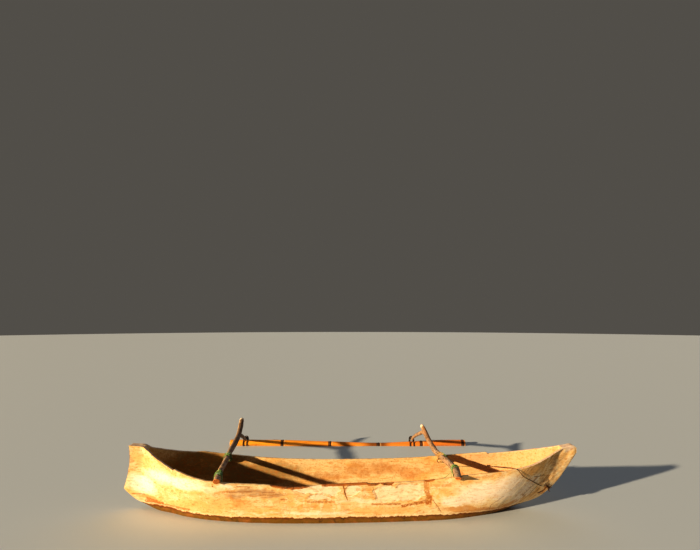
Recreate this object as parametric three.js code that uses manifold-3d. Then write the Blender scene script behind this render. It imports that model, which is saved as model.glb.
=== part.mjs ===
// Small outrigger canoe: a dugout hull, two booms cut from forked branches and one bamboo float.
// Millimetres. X runs along the hull to the bow, Y runs out to the float, Z is up from the waterline.
// The origin lies on the hull's centre line, amidships, in the plane of the water.
import * as THREE from 'three';
import { mergeVertices } from 'three/addons/utils/BufferGeometryUtils.js';
import Module from 'manifold-3d';

const wasm = await Module();
wasm.setup();

const SEAT_GAP = 0.4;          // between pieces that rest on each other

// Hull sections from stern to bow. beam and sheer place the gunwale, side is the half breadth that
// the side keeps on its way down, bilge is that of the bottom, and keel is the bottom's height.
const SECTIONS = [
  { x: -1978, beam: 40, sheer: 525, side: 33, bilge: 33, keel: 156 },
  { x: -1900, beam: 42, sheer: 521, side: 35, bilge: 35, keel: 102 },
  { x: -1800, beam: 52, sheer: 514, side: 45, bilge: 45, keel: 40 },
  { x: -1650, beam: 134, sheer: 463, side: 93, bilge: 93, keel: -15 },
  { x: -1500, beam: 212, sheer: 416, side: 136, bilge: 136, keel: -52 },
  { x: -1350, beam: 272, sheer: 378, side: 188, bilge: 188, keel: -80 },
  { x: -1200, beam: 313, sheer: 350, side: 228, bilge: 228, keel: -95 },
  { x: -1050, beam: 328, sheer: 331, side: 256, bilge: 256, keel: -100 },
  { x: -750, beam: 319, sheer: 312, side: 293, bilge: 293, keel: -102 },
  { x: -300, beam: 303, sheer: 306, side: 306, bilge: 306, keel: -105 },
  { x: 150, beam: 289, sheer: 312, side: 292, bilge: 292, keel: -105 },
  { x: 600, beam: 280, sheer: 329, side: 272, bilge: 250, keel: -100 },
  { x: 900, beam: 275, sheer: 351, side: 275, bilge: 168, keel: -85 },
  { x: 1200, beam: 256, sheer: 375, side: 268, bilge: 60, keel: -42 },
  { x: 1350, beam: 236, sheer: 390, side: 220, bilge: 24, keel: -8 },
  { x: 1500, beam: 200, sheer: 411, side: 130, bilge: 22, keel: 36 },
  { x: 1650, beam: 142, sheer: 446, side: 60, bilge: 24, keel: 92 },
  { x: 1800, beam: 72, sheer: 488, side: 32, bilge: 30, keel: 208 },
  { x: 1900, beam: 40, sheer: 513, side: 29, bilge: 29, keel: 330 },
  { x: 1965, beam: 33, sheer: 524, side: 27, bilge: 27, keel: 412 },
  { x: 1992, beam: 24, sheer: 502, side: 20, bilge: 20, keel: 448 },
];
const STERN_X = SECTIONS[0].x;
const BOW_X = SECTIONS[SECTIONS.length - 1].x;
const BILGE_RISE = 0.25;       // share of the depth at which the side turns into the bottom
const STERN_HOLLOW = 52;       // how far the stern's cut end is scooped out
const STERN_HOLLOW_Z = 400;
const STERN_HOLLOW_REACH = 250;
const WALL = 28;
const FLOOR = 42;
const HULL_ROWS = 56;
const HALF_STEPS = 9;

// The hollow runs out in a ramp at each end, and leaves a solid block there.
const HOLLOW_STERN_X = -1785;
const HOLLOW_BOW_X = 1862;
const STERN_RAMP = 300;
const BOW_RAMP = 430;

// The booms lie in shallow notches in both gunwales, tied down to lugs carved inside the hull.
const LUG_LENGTH = 50;
const LUG_HEIGHT = 26;
const LUG_DROP = 10;           // lug's top below the gunwale
const LUG_REACH = 66;          // inboard of the gunwale's inner edge
const LUG_ROOT = 6;            // into the wall
const BAND_INSET = 42;         // centre of the lashing, inboard of the gunwale's inner edge
const BAND_WIDTH = 36;
const BAND_THICK = 7;
const BAND_EASE = 1.02;        // room round the boom's faceted limb
const BAND_ARC_STEPS = 12;

const FLOAT_Y = 1720;
const FLOAT_RADIUS = 40;
const FLOAT_AXIS = [
  { x: -1563, z: 29 },
  { x: -1200, z: 28 },
  { x: -800, z: 23 },
  { x: -400, z: 11 },
  { x: 0, z: 0 },
  { x: 380, z: -11 },
  { x: 640, z: 1 },
  { x: 940, z: 14 },
  { x: 1180, z: 26 },
  { x: 1503, z: 26 },
];
const FLOAT_SIDES = 16;
const FLOAT_STATION = 120;     // between rings along the pole
const FLOAT_NODES_X = [-1500, -880, -260, 370, 930, 1470];
const NODE_RISE = 3.5;
const NODE_HALF = 9;
const BAMBOO_WALL = 9;
const BAMBOO_RIM = 1;

// Each boom: the stem's route as [x, y, z, radius], then the side branch that goes to the float.
// The inboard end is cut on a slant, with its top edge out over the gunwale.
const BOOMS = [
  {
    name: 'boom_aft',
    slant: 0.8,
    stem: [
      [-1050, -374, 355, 28], [-1082, -211, 354, 25], [-1122, 88, 356, 24.5], [-1149, 264, 358, 26.5],
      [-1173, 460, 358, 27], [-1198, 661, 356, 29], [-1235, 900, 360, 27], [-1261, 1060, 404, 28.5],
      [-1284, 1190, 450, 25],
    ],
    branch: [
      [-1232, 860, 358, 20], [-1255, 1020, 322, 21], [-1285, 1260, 235, 20], [-1330, 1520, 140, 18],
      [-1366, 1700, 86, 15], [-1360, 1775, 90, 14],
    ],
  },
  {
    name: 'boom_fore',
    slant: 1.7,
    stem: [
      [864, -332, 363, 27], [886, -187, 364, 30], [878, -40, 366, 29], [853, 120, 366, 28],
      [822, 300, 368, 27], [821, 446, 370, 27], [821, 620, 374, 26], [827, 790, 384, 27],
      [824, 900, 408, 24], [817, 985, 430, 21.5],
    ],
    branch: [
      [820, 800, 384, 18], [813, 920, 380, 20], [808, 1060, 330, 20], [803, 1250, 262, 19],
      [803, 1540, 150, 17], [808, 1700, 80, 15.5], [800, 1775, 85, 14.5],
    ],
  },
];
const LIMB_SIDES = 12;
const LIMB_STEPS = 30;

const FLOAT_ROPE = 4.5;        // radius of the tied turns at the float
const FLOAT_ROPE_SPREAD = 28;  // from the float's axis to the turns over the branch
const FLOAT_ROPE_STEPS = 60;
const FLOAT_ROPE_EASE = 1.5;
const ROPE_SIDES = 8;

// The painter runs from a knot inside the far wall over the near gunwale and down to the stem.
const PAINTER = 3.6;           // radius
const PAINTER_STEPS = 60;
const PAINTER_KNOT = 10;
const PAINTER_KNOT_SEAT = 18;  // from the wall's face to the knot's centre
const PAINTER_STAND = 8;       // off the hull's side
const PAINTER_HOLE = { x: 1280, z: 277, radius: 6 };
const PAINTER_LEAD = { x: 1312, inboard: 198, z: 322 };
const PAINTER_CROSSING_X = 1360;
const PAINTER_OUTSIDE = [
  { x: 1437, z: 331 },
  { x: 1517, z: 280 },
  { x: 1595, z: 231 },
  { x: 1650, z: 203 },
];
const PAINTER_END = { x: 1682, z: 197, stand: 15 };
const STEM_HOLE = { x: 1696, z: 204, radius: 11.5 };
const STEM_EDGE_LEAN = 0.56;   // radians that the stem's edge leans back from the upright
const STEM_TURNS = 8;          // radius of the turns round the stem
const STEM_TURNS_STEPS = 56;
const STEM_TURNS_STAND = 3;
const STEM_TURNS_HALF_LEAD = 28;
const STEM_TURNS_DOWN = [0, 28, 52];
const STEM_TURNS_BELOW = 82;

const WOOD = { color: 0xe2b674, roughness: 0.75 };
const BARK = { color: 0x8d7860, roughness: 0.85 };
const BAMBOO = { color: 0xc9702a, roughness: 0.45 };
const GREEN_TWINE = { color: 0x6f8a58, roughness: 0.8 };
const WET_ROPE = { color: 0x2b211c, roughness: 0.7 };
const CORD = { color: 0x6a4327, roughness: 0.85 };

const canoe = new THREE.Group();

function add(name, geometry, look) {
  const mesh = new THREE.Mesh(geometry, new THREE.MeshStandardMaterial({ metalness: 0, ...look }));
  mesh.name = name;
  canoe.add(mesh);
}

// Closed skin over rings of equal, even size. A loop joins its last ring to its first. Otherwise
// each end is closed by strips that join the ring's first half to its second half.
function skin(rings, loop = false) {
  const size = rings[0].length;
  const positions = rings.flat().flatMap((p) => p.toArray());
  const index = [];
  const quad = (a, b, c, d) => index.push(a, b, c, a, c, d);
  for (let row = 0; row < rings.length - (loop ? 0 : 1); row += 1) {
    const here = row * size;
    const there = ((row + 1) % rings.length) * size;
    for (let i = 0; i < size; i += 1) {
      const next = (i + 1) % size;
      quad(here + i, here + next, there + next, there + i);
    }
  }
  const last = (rings.length - 1) * size;
  for (let i = 0; !loop && i < size / 2 - 1; i += 1) {
    quad(size - 1 - i, size - 2 - i, i + 1, i);
    quad(last + i, last + i + 1, last + size - 2 - i, last + size - 1 - i);
  }
  if (signedVolume(positions, index) < 0) {
    index.reverse();
  }
  const geometry = new THREE.BufferGeometry();
  geometry.setAttribute('position', new THREE.Float32BufferAttribute(positions, 3));
  geometry.setIndex(index);
  geometry.computeVertexNormals();
  return geometry;
}

function signedVolume(positions, index) {
  const corner = (i) => new THREE.Vector3().fromArray(positions, index[i] * 3);
  let total = 0;
  for (let i = 0; i < index.length; i += 3) {
    total += corner(i).dot(corner(i + 1).cross(corner(i + 2)));
  }
  return total / 6;
}

function toSolid(geometry) {
  const bare = geometry.clone();
  bare.deleteAttribute('normal');
  bare.deleteAttribute('uv');
  const merged = mergeVertices(bare, 1e-3);
  return new wasm.Manifold(new wasm.Mesh({
    numProp: 3,
    vertProperties: new Float32Array(merged.attributes.position.array),
    triVerts: new Uint32Array(merged.index.array),
  }));
}

function toGeometry(solid) {
  const mesh = solid.getMesh();
  const geometry = new THREE.BufferGeometry();
  geometry.setAttribute('position', new THREE.Float32BufferAttribute(mesh.vertProperties, 3));
  geometry.setIndex(Array.from(mesh.triVerts));
  geometry.computeVertexNormals();
  return geometry;
}

// Smooth value of one column of a table at x, through every row.
function columnAt(table, column, x) {
  const last = table.length - 1;
  let i = table.findIndex((row) => row.x > x) - 1;
  i = i < 0 ? last - 1 : i;
  const slope = (k) => {
    const a = table[Math.max(k - 1, 0)];
    const b = table[Math.min(k + 1, last)];
    return (b[column] - a[column]) / (b.x - a.x);
  };
  const span = table[i + 1].x - table[i].x;
  const t = (x - table[i].x) / span;
  const rise = table[i + 1][column] - table[i][column];
  const bend = (1 - t) * (slope(i) * span - rise) - t * (slope(i + 1) * span - rise);
  return table[i][column] + t * rise + t * (1 - t) * bend;
}

function sectionAt(x) {
  const value = (column) => columnAt(SECTIONS, column, x);
  const [beam, sheer, side, bilge, keel] = ['beam', 'sheer', 'side', 'bilge', 'keel'].map(value);
  return { beam, sheer, side, bilge, keel };
}

// Half of a hull section in the YZ plane, from the gunwale down to the keel.
function halfCurve({ beam, sheer, side, bilge, keel }) {
  return new THREE.CubicBezierCurve(
    new THREE.Vector2(beam, sheer),
    new THREE.Vector2(side, keel + BILGE_RISE * (sheer - keel)),
    new THREE.Vector2(bilge, keel),
    new THREE.Vector2(0, keel),
  );
}

function halfBreadthAt(x, z) {
  const points = halfCurve(sectionAt(x)).getPoints(80);
  const below = points.find((p) => p.y <= z);
  return below ? below.x : 0;
}

function hollowShare(x) {
  const fromStern = THREE.MathUtils.clamp((x - HOLLOW_STERN_X) / STERN_RAMP, 0, 1);
  const fromBow = THREE.MathUtils.clamp((HOLLOW_BOW_X - x) / BOW_RAMP, 0, 1);
  return Math.sqrt(Math.sin((Math.PI / 2) * Math.min(fromStern, fromBow)));
}

function innerSection(x) {
  const outer = sectionAt(x);
  const wall = Math.min(WALL, 0.42 * outer.beam);
  const share = hollowShare(x);
  const beam = outer.beam - wall;
  const hollowed = (column) => THREE.MathUtils.lerp(beam, Math.max(outer[column] - WALL, 8), share);
  const keel = outer.sheer - (outer.sheer - outer.keel - FLOOR) * share;
  return { beam, sheer: outer.sheer, side: hollowed('side'), bilge: hollowed('bilge'), keel };
}

// The scoop in the stern's cut end, faded out over the solid block.
function sternScoop(x, z) {
  const fade = THREE.MathUtils.clamp(1 - (x - STERN_X) / (HOLLOW_STERN_X - STERN_X), 0, 1);
  const height = (z - STERN_HOLLOW_Z) / STERN_HOLLOW_REACH;
  return STERN_HOLLOW * (1 - height * height) * fade;
}

function hullRing(x) {
  const outer = halfCurve(sectionAt(x)).getPoints(HALF_STEPS);
  const inner = halfCurve(innerSection(x)).getPoints(HALF_STEPS);
  const across = (half) => [
    ...half.map((p) => [-p.x, p.y]),
    ...half.slice(0, -1).reverse().map((p) => [p.x, p.y]),
  ];
  const ring = [...across(outer), ...across(inner).reverse()];
  return ring.map(([y, z]) => new THREE.Vector3(x + sternScoop(x, z), y, z));
}

// Round limb along a smooth curve through points, with a radius at each of them. A slant shears
// its first end, so that the top reaches out further than the bottom.
function limb(points, extra = 0, slant = 0) {
  const curve = new THREE.CatmullRomCurve3(points.map(([x, y, z]) => new THREE.Vector3(x, y, z)));
  const { normals, binormals } = curve.computeFrenetFrames(LIMB_STEPS, false);
  const rings = [];
  for (let step = 0; step <= LIMB_STEPS; step += 1) {
    const u = step / LIMB_STEPS;
    const place = curve.getUtoTmapping(u) * (points.length - 1);
    const i = Math.min(Math.floor(place), points.length - 2);
    const radius = extra + THREE.MathUtils.lerp(points[i][3], points[i + 1][3], place - i);
    rings.push(circle(curve.getPointAt(u), normals[step], binormals[step], radius, LIMB_SIDES));
  }
  const start = curve.getPointAt(0);
  const along = curve.getTangentAt(0);
  rings[0].forEach((p) => p.addScaledVector(along, -slant * (p.z - start.z)));
  return skin(rings);
}

function circle(centre, u, v, radius, sides) {
  return Array.from({ length: sides }, (_, i) => {
    const angle = (2 * Math.PI * (i + 0.5)) / sides;
    return centre.clone()
      .addScaledVector(u, radius * Math.cos(angle))
      .addScaledVector(v, radius * Math.sin(angle));
  });
}

// Rope of one thickness: an open route gets flat ends, a loop joins up.
function rope(points, radius, steps, loop = false) {
  const curve = new THREE.CatmullRomCurve3(points, loop, 'centripetal');
  const { normals, binormals } = curve.computeFrenetFrames(steps, loop);
  const rings = [];
  for (let step = 0; step < steps + (loop ? 0 : 1); step += 1) {
    rings.push(circle(curve.getPointAt(step / steps), normals[step], binormals[step], radius, ROPE_SIDES));
  }
  return skin(rings, loop);
}

// Point on a boom's stem where it crosses the given y.
function stemAt(boom, y) {
  const i = boom.stem.findIndex((p) => p[1] > y) - 1;
  const [a, b] = [boom.stem[i], boom.stem[i + 1]];
  const t = (y - a[1]) / (b[1] - a[1]);
  return a.map((value, k) => THREE.MathUtils.lerp(value, b[k], t));
}

// Where a boom is tied down inside one gunwale.
function crossing(boom, side) {
  const guess = stemAt(boom, side * sectionAt(boom.stem[1][0]).beam);
  const { beam, sheer } = sectionAt(guess[0]);
  const y = side * (beam - WALL - BAND_INSET);
  const [x, , z, radius] = stemAt(boom, y);
  return { x, y, z, radius, beam, sheer, side };
}

function lug({ x, beam, sheer, side }) {
  const reach = LUG_REACH + LUG_ROOT;
  const box = new THREE.BoxGeometry(LUG_LENGTH, reach, LUG_HEIGHT);
  const outerY = beam - WALL - LUG_REACH + reach;
  box.translate(x, side * (outerY - reach / 2), sheer - LUG_DROP - LUG_HEIGHT / 2);
  return toSolid(box);
}

// Outline round a boom's circle and the lug below it, at a distance from both.
function bandOutline({ x, z, radius, sheer }, distance) {
  const points = [];
  const round = radius * BAND_EASE + distance;
  for (let i = 0; i <= BAND_ARC_STEPS; i += 1) {
    const angle = (Math.PI * i) / BAND_ARC_STEPS;
    points.push(new THREE.Vector2(x + round * Math.cos(angle), z + round * Math.sin(angle)));
  }
  const bottom = sheer - LUG_DROP - LUG_HEIGHT - distance;
  const half = LUG_LENGTH / 2 + distance;
  const chamfer = distance / 2;
  points.push(new THREE.Vector2(x - half, bottom + LUG_HEIGHT));
  points.push(new THREE.Vector2(x - half, bottom + chamfer));
  points.push(new THREE.Vector2(x - half + chamfer, bottom));
  points.push(new THREE.Vector2(x + half - chamfer, bottom));
  points.push(new THREE.Vector2(x + half, bottom + chamfer));
  points.push(new THREE.Vector2(x + half, bottom + LUG_HEIGHT));
  return points;
}

function band(boom, side) {
  const tie = crossing(boom, side);
  const shape = new THREE.Shape(bandOutline(tie, SEAT_GAP + BAND_THICK));
  shape.holes.push(new THREE.Path(bandOutline(tie, SEAT_GAP)));
  const ring = new THREE.ExtrudeGeometry(shape, { depth: BAND_WIDTH, bevelEnabled: false });
  ring.rotateX(Math.PI / 2);
  ring.translate(0, tie.y + BAND_WIDTH / 2, 0);
  return toGeometry(toSolid(ring).subtract(toSolid(limb(boom.stem, SEAT_GAP))));
}

function floatZ(x) {
  return columnAt(FLOAT_AXIS, 'z', x);
}

// Bamboo pole: a bent tube with a raised ring at each node, open at both ends up to the first one.
function bamboo(extra = 0) {
  const first = FLOAT_AXIS[0].x;
  const last = FLOAT_AXIS[FLOAT_AXIS.length - 1].x;
  const stations = new Set();
  FLOAT_NODES_X.forEach((x) => {
    [-NODE_HALF, -NODE_HALF / 3, NODE_HALF / 3, NODE_HALF].forEach((d) => stations.add(x + d));
  });
  for (let x = first + FLOAT_STATION; x < last; x += FLOAT_STATION) {
    stations.add(x);
  }
  const radiusAt = (x) => {
    const near = FLOAT_NODES_X.some((node) => Math.abs(x - node) < NODE_HALF / 2);
    return FLOAT_RADIUS + extra + (near ? NODE_RISE : 0);
  };
  const across = new THREE.Vector3(0, 1, 0);
  const up = new THREE.Vector3(0, 0, 1);
  const ringAt = (x, radius) => {
    return circle(new THREE.Vector3(x, FLOAT_Y, floatZ(x)), across, up, radius, FLOAT_SIDES);
  };
  const bore = FLOAT_RADIUS - BAMBOO_WALL;
  const rim = FLOAT_RADIUS - BAMBOO_RIM;
  return skin([
    ringAt(FLOAT_NODES_X[0] - NODE_HALF, bore),
    ringAt(first, bore),
    ringAt(first, rim),
    ...[...stations].sort((a, b) => a - b).map((x) => ringAt(x, radiusAt(x))),
    ringAt(last, rim),
    ringAt(last, bore),
    ringAt(FLOAT_NODES_X[FLOAT_NODES_X.length - 1] + NODE_HALF, bore),
  ]);
}

// Square lashing: over the branch on both sides of the float's axis, under the float between.
function floatLashing(boom) {
  const [before, end] = boom.branch.slice(-2);
  const t = (FLOAT_Y - before[1]) / (end[1] - before[1]);
  const [x, , z, radius] = before.map((value, k) => THREE.MathUtils.lerp(value, end[k], t));
  const axisZ = floatZ(x);
  const slope = (end[2] - before[2]) / (end[1] - before[1]);
  const round = FLOAT_RADIUS + FLOAT_ROPE + SEAT_GAP;
  const aside = radius + FLOAT_ROPE + FLOAT_ROPE_EASE;
  const under = (sx) => [-66, -90, -120, -150, 180, 150, 120, 90, 66].map((degrees) => {
    const angle = THREE.MathUtils.degToRad(degrees);
    const [out, up] = [round * Math.sin(angle), round * Math.cos(angle)];
    return new THREE.Vector3(x + sx * aside, FLOAT_Y + out, axisZ + up);
  });
  const over = (sy) => [180, 135, 90, 45, 0].map((degrees) => {
    const angle = THREE.MathUtils.degToRad(degrees);
    const y = sy * FLOAT_ROPE_SPREAD;
    const [along, up] = [aside * Math.cos(angle), aside * Math.sin(angle)];
    return new THREE.Vector3(x + along, FLOAT_Y + y, z + slope * y + up);
  });
  const route = [...over(-1), ...under(1), ...over(1).reverse(), ...under(-1).reverse()];
  const turns = toSolid(rope(route, FLOAT_ROPE, FLOAT_ROPE_STEPS, true));
  const branch = toSolid(limb(boom.branch, SEAT_GAP));
  return toGeometry(turns.subtract(branch).subtract(toSolid(bamboo(SEAT_GAP))));
}

function knot(x, y, z, radius) {
  return toSolid(new THREE.SphereGeometry(radius, 10, 7).rotateX(Math.PI / 2).translate(x, y, z));
}

function drill(x, z, radius, fromY, toY) {
  const bore = new THREE.CylinderGeometry(radius, radius, toY - fromY, 12);
  bore.translate(x, (fromY + toY) / 2, z);
  return toSolid(bore);
}

function painter() {
  const { x: holeX, z: holeZ } = PAINTER_HOLE;
  const wallY = halfBreadthAt(holeX, holeZ);
  const innerKnotY = wallY - WALL - PAINTER_KNOT_SEAT;
  const outerKnotY = wallY + PAINTER_KNOT_SEAT;
  const { beam, sheer } = sectionAt(PAINTER_CROSSING_X);
  const rest = sheer + PAINTER + SEAT_GAP;
  const ease = PAINTER / 2;
  const outside = ({ x, z, stand = PAINTER_STAND }) => [x, -halfBreadthAt(x, z) - stand, z];
  const route = [
    [holeX, outerKnotY, holeZ],
    [holeX, wallY - WALL / 2, holeZ],
    [holeX, innerKnotY, holeZ],
    [PAINTER_LEAD.x, wallY - PAINTER_LEAD.inboard, PAINTER_LEAD.z],
    [PAINTER_CROSSING_X - WALL / 2, -beam + WALL, rest + ease],
    [PAINTER_CROSSING_X, -beam + WALL / 2, rest + ease],
    [PAINTER_CROSSING_X + WALL / 2, -beam - PAINTER, rest],
    ...PAINTER_OUTSIDE.map(outside),
    outside(PAINTER_END),
  ].map(([x, y, z]) => new THREE.Vector3(x, y, z));
  const end = route[route.length - 1];
  return toSolid(rope(route, PAINTER, PAINTER_STEPS))
    .add(knot(holeX, outerKnotY, holeZ, PAINTER_KNOT))
    .add(knot(holeX, innerKnotY, holeZ, PAINTER_KNOT))
    .add(knot(end.x, end.y, end.z, PAINTER_KNOT))
    .add(toSolid(stemTurns()));
}

// Turns of the same cord through the hole in the stem and round its raking edge.
function stemTurns() {
  const { x, z } = STEM_HOLE;
  const along = new THREE.Vector3(Math.sin(STEM_EDGE_LEAN), 0, -Math.cos(STEM_EDGE_LEAN));
  const at = (down, y) => new THREE.Vector3(x, y, z).addScaledVector(along, down);
  const sides = (sy) => STEM_TURNS_DOWN.map((down) => {
    const p = at(down, 0);
    return at(down, sy * (halfBreadthAt(p.x, p.z) + STEM_TURNS + STEM_TURNS_STAND));
  });
  const route = [
    at(0, -STEM_TURNS_HALF_LEAD),
    at(0, STEM_TURNS_HALF_LEAD),
    ...sides(1),
    at(STEM_TURNS_BELOW, 0),
    ...sides(-1).reverse(),
  ];
  return rope(route, STEM_TURNS, STEM_TURNS_STEPS, true);
}

function hull() {
  const middle = (STERN_X + BOW_X) / 2;
  const half = (BOW_X - STERN_X) / 2;
  const rings = [];
  for (let row = 0; row <= HULL_ROWS; row += 1) {
    rings.push(hullRing(middle - half * Math.cos((Math.PI * row) / HULL_ROWS)));
  }
  let solid = toSolid(skin(rings));
  BOOMS.forEach((boom) => {
    [-1, 1].forEach((side) => {
      solid = solid.add(lug(crossing(boom, side)));
    });
    solid = solid.subtract(toSolid(limb(boom.stem, SEAT_GAP, boom.slant)));
  });
  solid = solid.subtract(drill(PAINTER_HOLE.x, PAINTER_HOLE.z, PAINTER_HOLE.radius, 60, 320));
  solid = solid.subtract(drill(STEM_HOLE.x, STEM_HOLE.z, STEM_HOLE.radius, -200, 200));
  return toGeometry(solid);
}

add('hull', hull(), WOOD);
BOOMS.forEach((boom) => {
  const stem = toSolid(limb(boom.stem, 0, boom.slant));
  const branch = toSolid(limb(boom.branch));
  add(boom.name, toGeometry(stem.add(branch)), BARK);
  const place = boom.name.replace('boom_', '');
  add(`lashing_${place}_near`, band(boom, -1), GREEN_TWINE);
  add(`lashing_${place}_far`, band(boom, 1), GREEN_TWINE);
  add(`lashing_${place}_float`, floatLashing(boom), WET_ROPE);
});
add('float', bamboo(), BAMBOO);
add('painter', toGeometry(painter()), CORD);

export default canoe;
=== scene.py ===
import math
from collections import namedtuple

import bmesh
import bpy
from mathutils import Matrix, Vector, noise
from mathutils.bvhtree import BVHTree


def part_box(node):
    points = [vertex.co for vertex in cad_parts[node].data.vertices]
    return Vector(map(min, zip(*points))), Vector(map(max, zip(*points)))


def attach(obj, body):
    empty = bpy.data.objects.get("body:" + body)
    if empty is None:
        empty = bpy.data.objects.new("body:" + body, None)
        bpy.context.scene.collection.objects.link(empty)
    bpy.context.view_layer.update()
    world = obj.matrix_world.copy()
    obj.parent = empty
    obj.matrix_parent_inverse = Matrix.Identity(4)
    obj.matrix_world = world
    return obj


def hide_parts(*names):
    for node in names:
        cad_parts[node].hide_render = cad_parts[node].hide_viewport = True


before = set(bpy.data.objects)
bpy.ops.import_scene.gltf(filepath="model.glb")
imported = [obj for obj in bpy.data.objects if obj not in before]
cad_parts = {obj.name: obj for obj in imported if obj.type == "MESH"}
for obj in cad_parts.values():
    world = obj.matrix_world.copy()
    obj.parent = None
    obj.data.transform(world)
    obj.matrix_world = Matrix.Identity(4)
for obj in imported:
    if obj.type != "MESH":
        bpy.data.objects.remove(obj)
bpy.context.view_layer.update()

# Camera: standing eye height on the open side, square to the hull and tilted a little up,
# so that the canoe lies in the lower part of the picture.
EYE = (0.0, -3.60, 1.60)
LENS_MM = 20.0
SENSOR_MM = 36.0
TILT_UP = math.radians(6.89)

camera_data = bpy.data.cameras.new("camera")
camera_data.lens = LENS_MM
camera_data.sensor_width = SENSOR_MM
camera_data.clip_end = 200.0
camera = bpy.data.objects.new("camera", camera_data)
camera.location = EYE
camera.rotation_euler = (math.radians(90.0) + TILT_UP, 0.0, 0.0)
bpy.context.scene.collection.objects.link(camera)
bpy.context.scene.camera = camera

# Light: a low warm key from the left and behind the camera, as late sun falls on the boat,
# a little softened, with a wide fill from the far side and a pale sky all round.
KEY_TRAVEL = Vector((0.894, 0.520, -0.276))
KEY_STRENGTH = 4.9
KEY_COLOUR = (1.0, 0.80, 0.52)
KEY_SOFTNESS = math.radians(1.5)
FILL_TRAVEL = Vector((-0.35, -0.80, -0.45))
FILL_STRENGTH = 0.34
FILL_COLOUR = (0.90, 0.94, 1.0)
FILL_SOFTNESS = math.radians(70.0)
SKY_COLOUR = (1.0, 0.94, 0.84)
SKY_STRENGTH = 0.10


def shine(name, travel, strength, colour, softness):
    data = bpy.data.lights.new(name, "SUN")
    data.energy = strength
    data.color = colour
    data.angle = softness
    made = bpy.data.objects.new(name, data)
    made.rotation_euler = travel.to_track_quat("-Z", "Y").to_euler()
    bpy.context.scene.collection.objects.link(made)


shine("key", KEY_TRAVEL, KEY_STRENGTH, KEY_COLOUR, KEY_SOFTNESS)
shine("fill", FILL_TRAVEL, FILL_STRENGTH, FILL_COLOUR, FILL_SOFTNESS)

world = bpy.data.worlds.new("sky")
world.use_nodes = True
world.node_tree.nodes["Background"].inputs["Color"].default_value = (*SKY_COLOUR, 1.0)
world.node_tree.nodes["Background"].inputs["Strength"].default_value = SKY_STRENGTH
bpy.context.scene.world = world
bpy.context.scene.view_settings.view_transform = "Standard"
bpy.context.scene.view_settings.look = "High Contrast"

# Hull: a dugout hewn from one pale log with axe and adze and left bare. The walls are about a
# thumb's width thick, a solid block stays at each end, and lugs carved inside take the lashings.
Station = namedtuple("Station", "x beam sheer side bilge keel")
STATIONS = [
    Station(-1.978, 0.040, 0.525, 0.033, 0.033, 0.156),
    Station(-1.900, 0.042, 0.521, 0.035, 0.035, 0.102),
    Station(-1.800, 0.052, 0.514, 0.045, 0.045, 0.040),
    Station(-1.650, 0.134, 0.463, 0.093, 0.093, -0.015),
    Station(-1.500, 0.212, 0.416, 0.136, 0.136, -0.052),
    Station(-1.350, 0.272, 0.378, 0.188, 0.188, -0.080),
    Station(-1.200, 0.313, 0.350, 0.228, 0.228, -0.095),
    Station(-1.050, 0.328, 0.331, 0.256, 0.256, -0.100),
    Station(-0.750, 0.319, 0.312, 0.293, 0.293, -0.102),
    Station(-0.300, 0.303, 0.306, 0.306, 0.306, -0.105),
    Station(0.150, 0.289, 0.312, 0.292, 0.292, -0.105),
    Station(0.600, 0.280, 0.329, 0.272, 0.250, -0.100),
    Station(0.900, 0.275, 0.351, 0.275, 0.168, -0.085),
    Station(1.200, 0.256, 0.375, 0.268, 0.060, -0.042),
    Station(1.350, 0.236, 0.390, 0.220, 0.024, -0.008),
    Station(1.500, 0.200, 0.411, 0.130, 0.022, 0.036),
    Station(1.650, 0.142, 0.446, 0.060, 0.024, 0.092),
    Station(1.800, 0.072, 0.488, 0.032, 0.030, 0.208),
    Station(1.900, 0.040, 0.513, 0.029, 0.029, 0.330),
    Station(1.965, 0.033, 0.524, 0.027, 0.027, 0.412),
    Station(1.992, 0.024, 0.502, 0.020, 0.020, 0.448),
]
STERN_X = STATIONS[0].x
BOW_X = STATIONS[-1].x
BILGE_RISE = 0.25
WALL = 0.028
NARROW_WALL_SHARE = 0.42
LEAST_HOLLOW = 0.008
FLOOR_THICK = 0.042
HOLLOW_STERN_X = -1.785
HOLLOW_BOW_X = 1.862
STERN_RAMP = 0.300
BOW_RAMP = 0.430
STERN_SCOOP = 0.052
STERN_SCOOP_Z = 0.400
STERN_SCOOP_REACH = 0.250

# How finely the skin is laid out, in metres and points: closer stations at the hollow's ends.
HULL_STEP = 0.009
LEAST_STEP = 2e-4
HOLLOW_END_STEPS = 8
HOLLOW_END_REACH = 0.03
END_INSET = 0.003
OUTER_POINTS = 46
INNER_POINTS = 40
FLAT_POINTS = 10
RIM_ROUND = 0.005
RIM_CORNER = 0.3
CURVE_STEPS = 90
WET_FROM_Z = -0.02
WET_SHARE = 0.6
LEAST = 1e-9

# The tools' marks: scoops in rows along the log, slanting ones on the bow, and its slow swell.
FACET_LONG = 0.115
FACET_WIDE = 0.052
FACET_DEPTH = 0.0034
FACET_MIDDLE = 0.45
BOW_CUTS_X = 1.12
BOW_CUTS_BLEND = 0.15
BOW_CUT_LONG = 0.150
BOW_CUT_WIDE = 0.030
BOW_CUT_LEAN = math.radians(38.0)
SWELL_DEPTH = 0.0026
SWELL_MIDDLE = 0.6
SWELLS_A_METRE = 3.1
RIPPLES_A_METRE = 7.3
RIM_RELIEF = 0.25
END_RELIEF = 0.0016
END_DENTS_A_METRE = 60.0


def clipped(value):
    return min(max(value, 0.0), 1.0)


def kept_between(place, low, high):
    return Vector([min(max(place[c], low[c]), high[c]) for c in range(3)])


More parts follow.
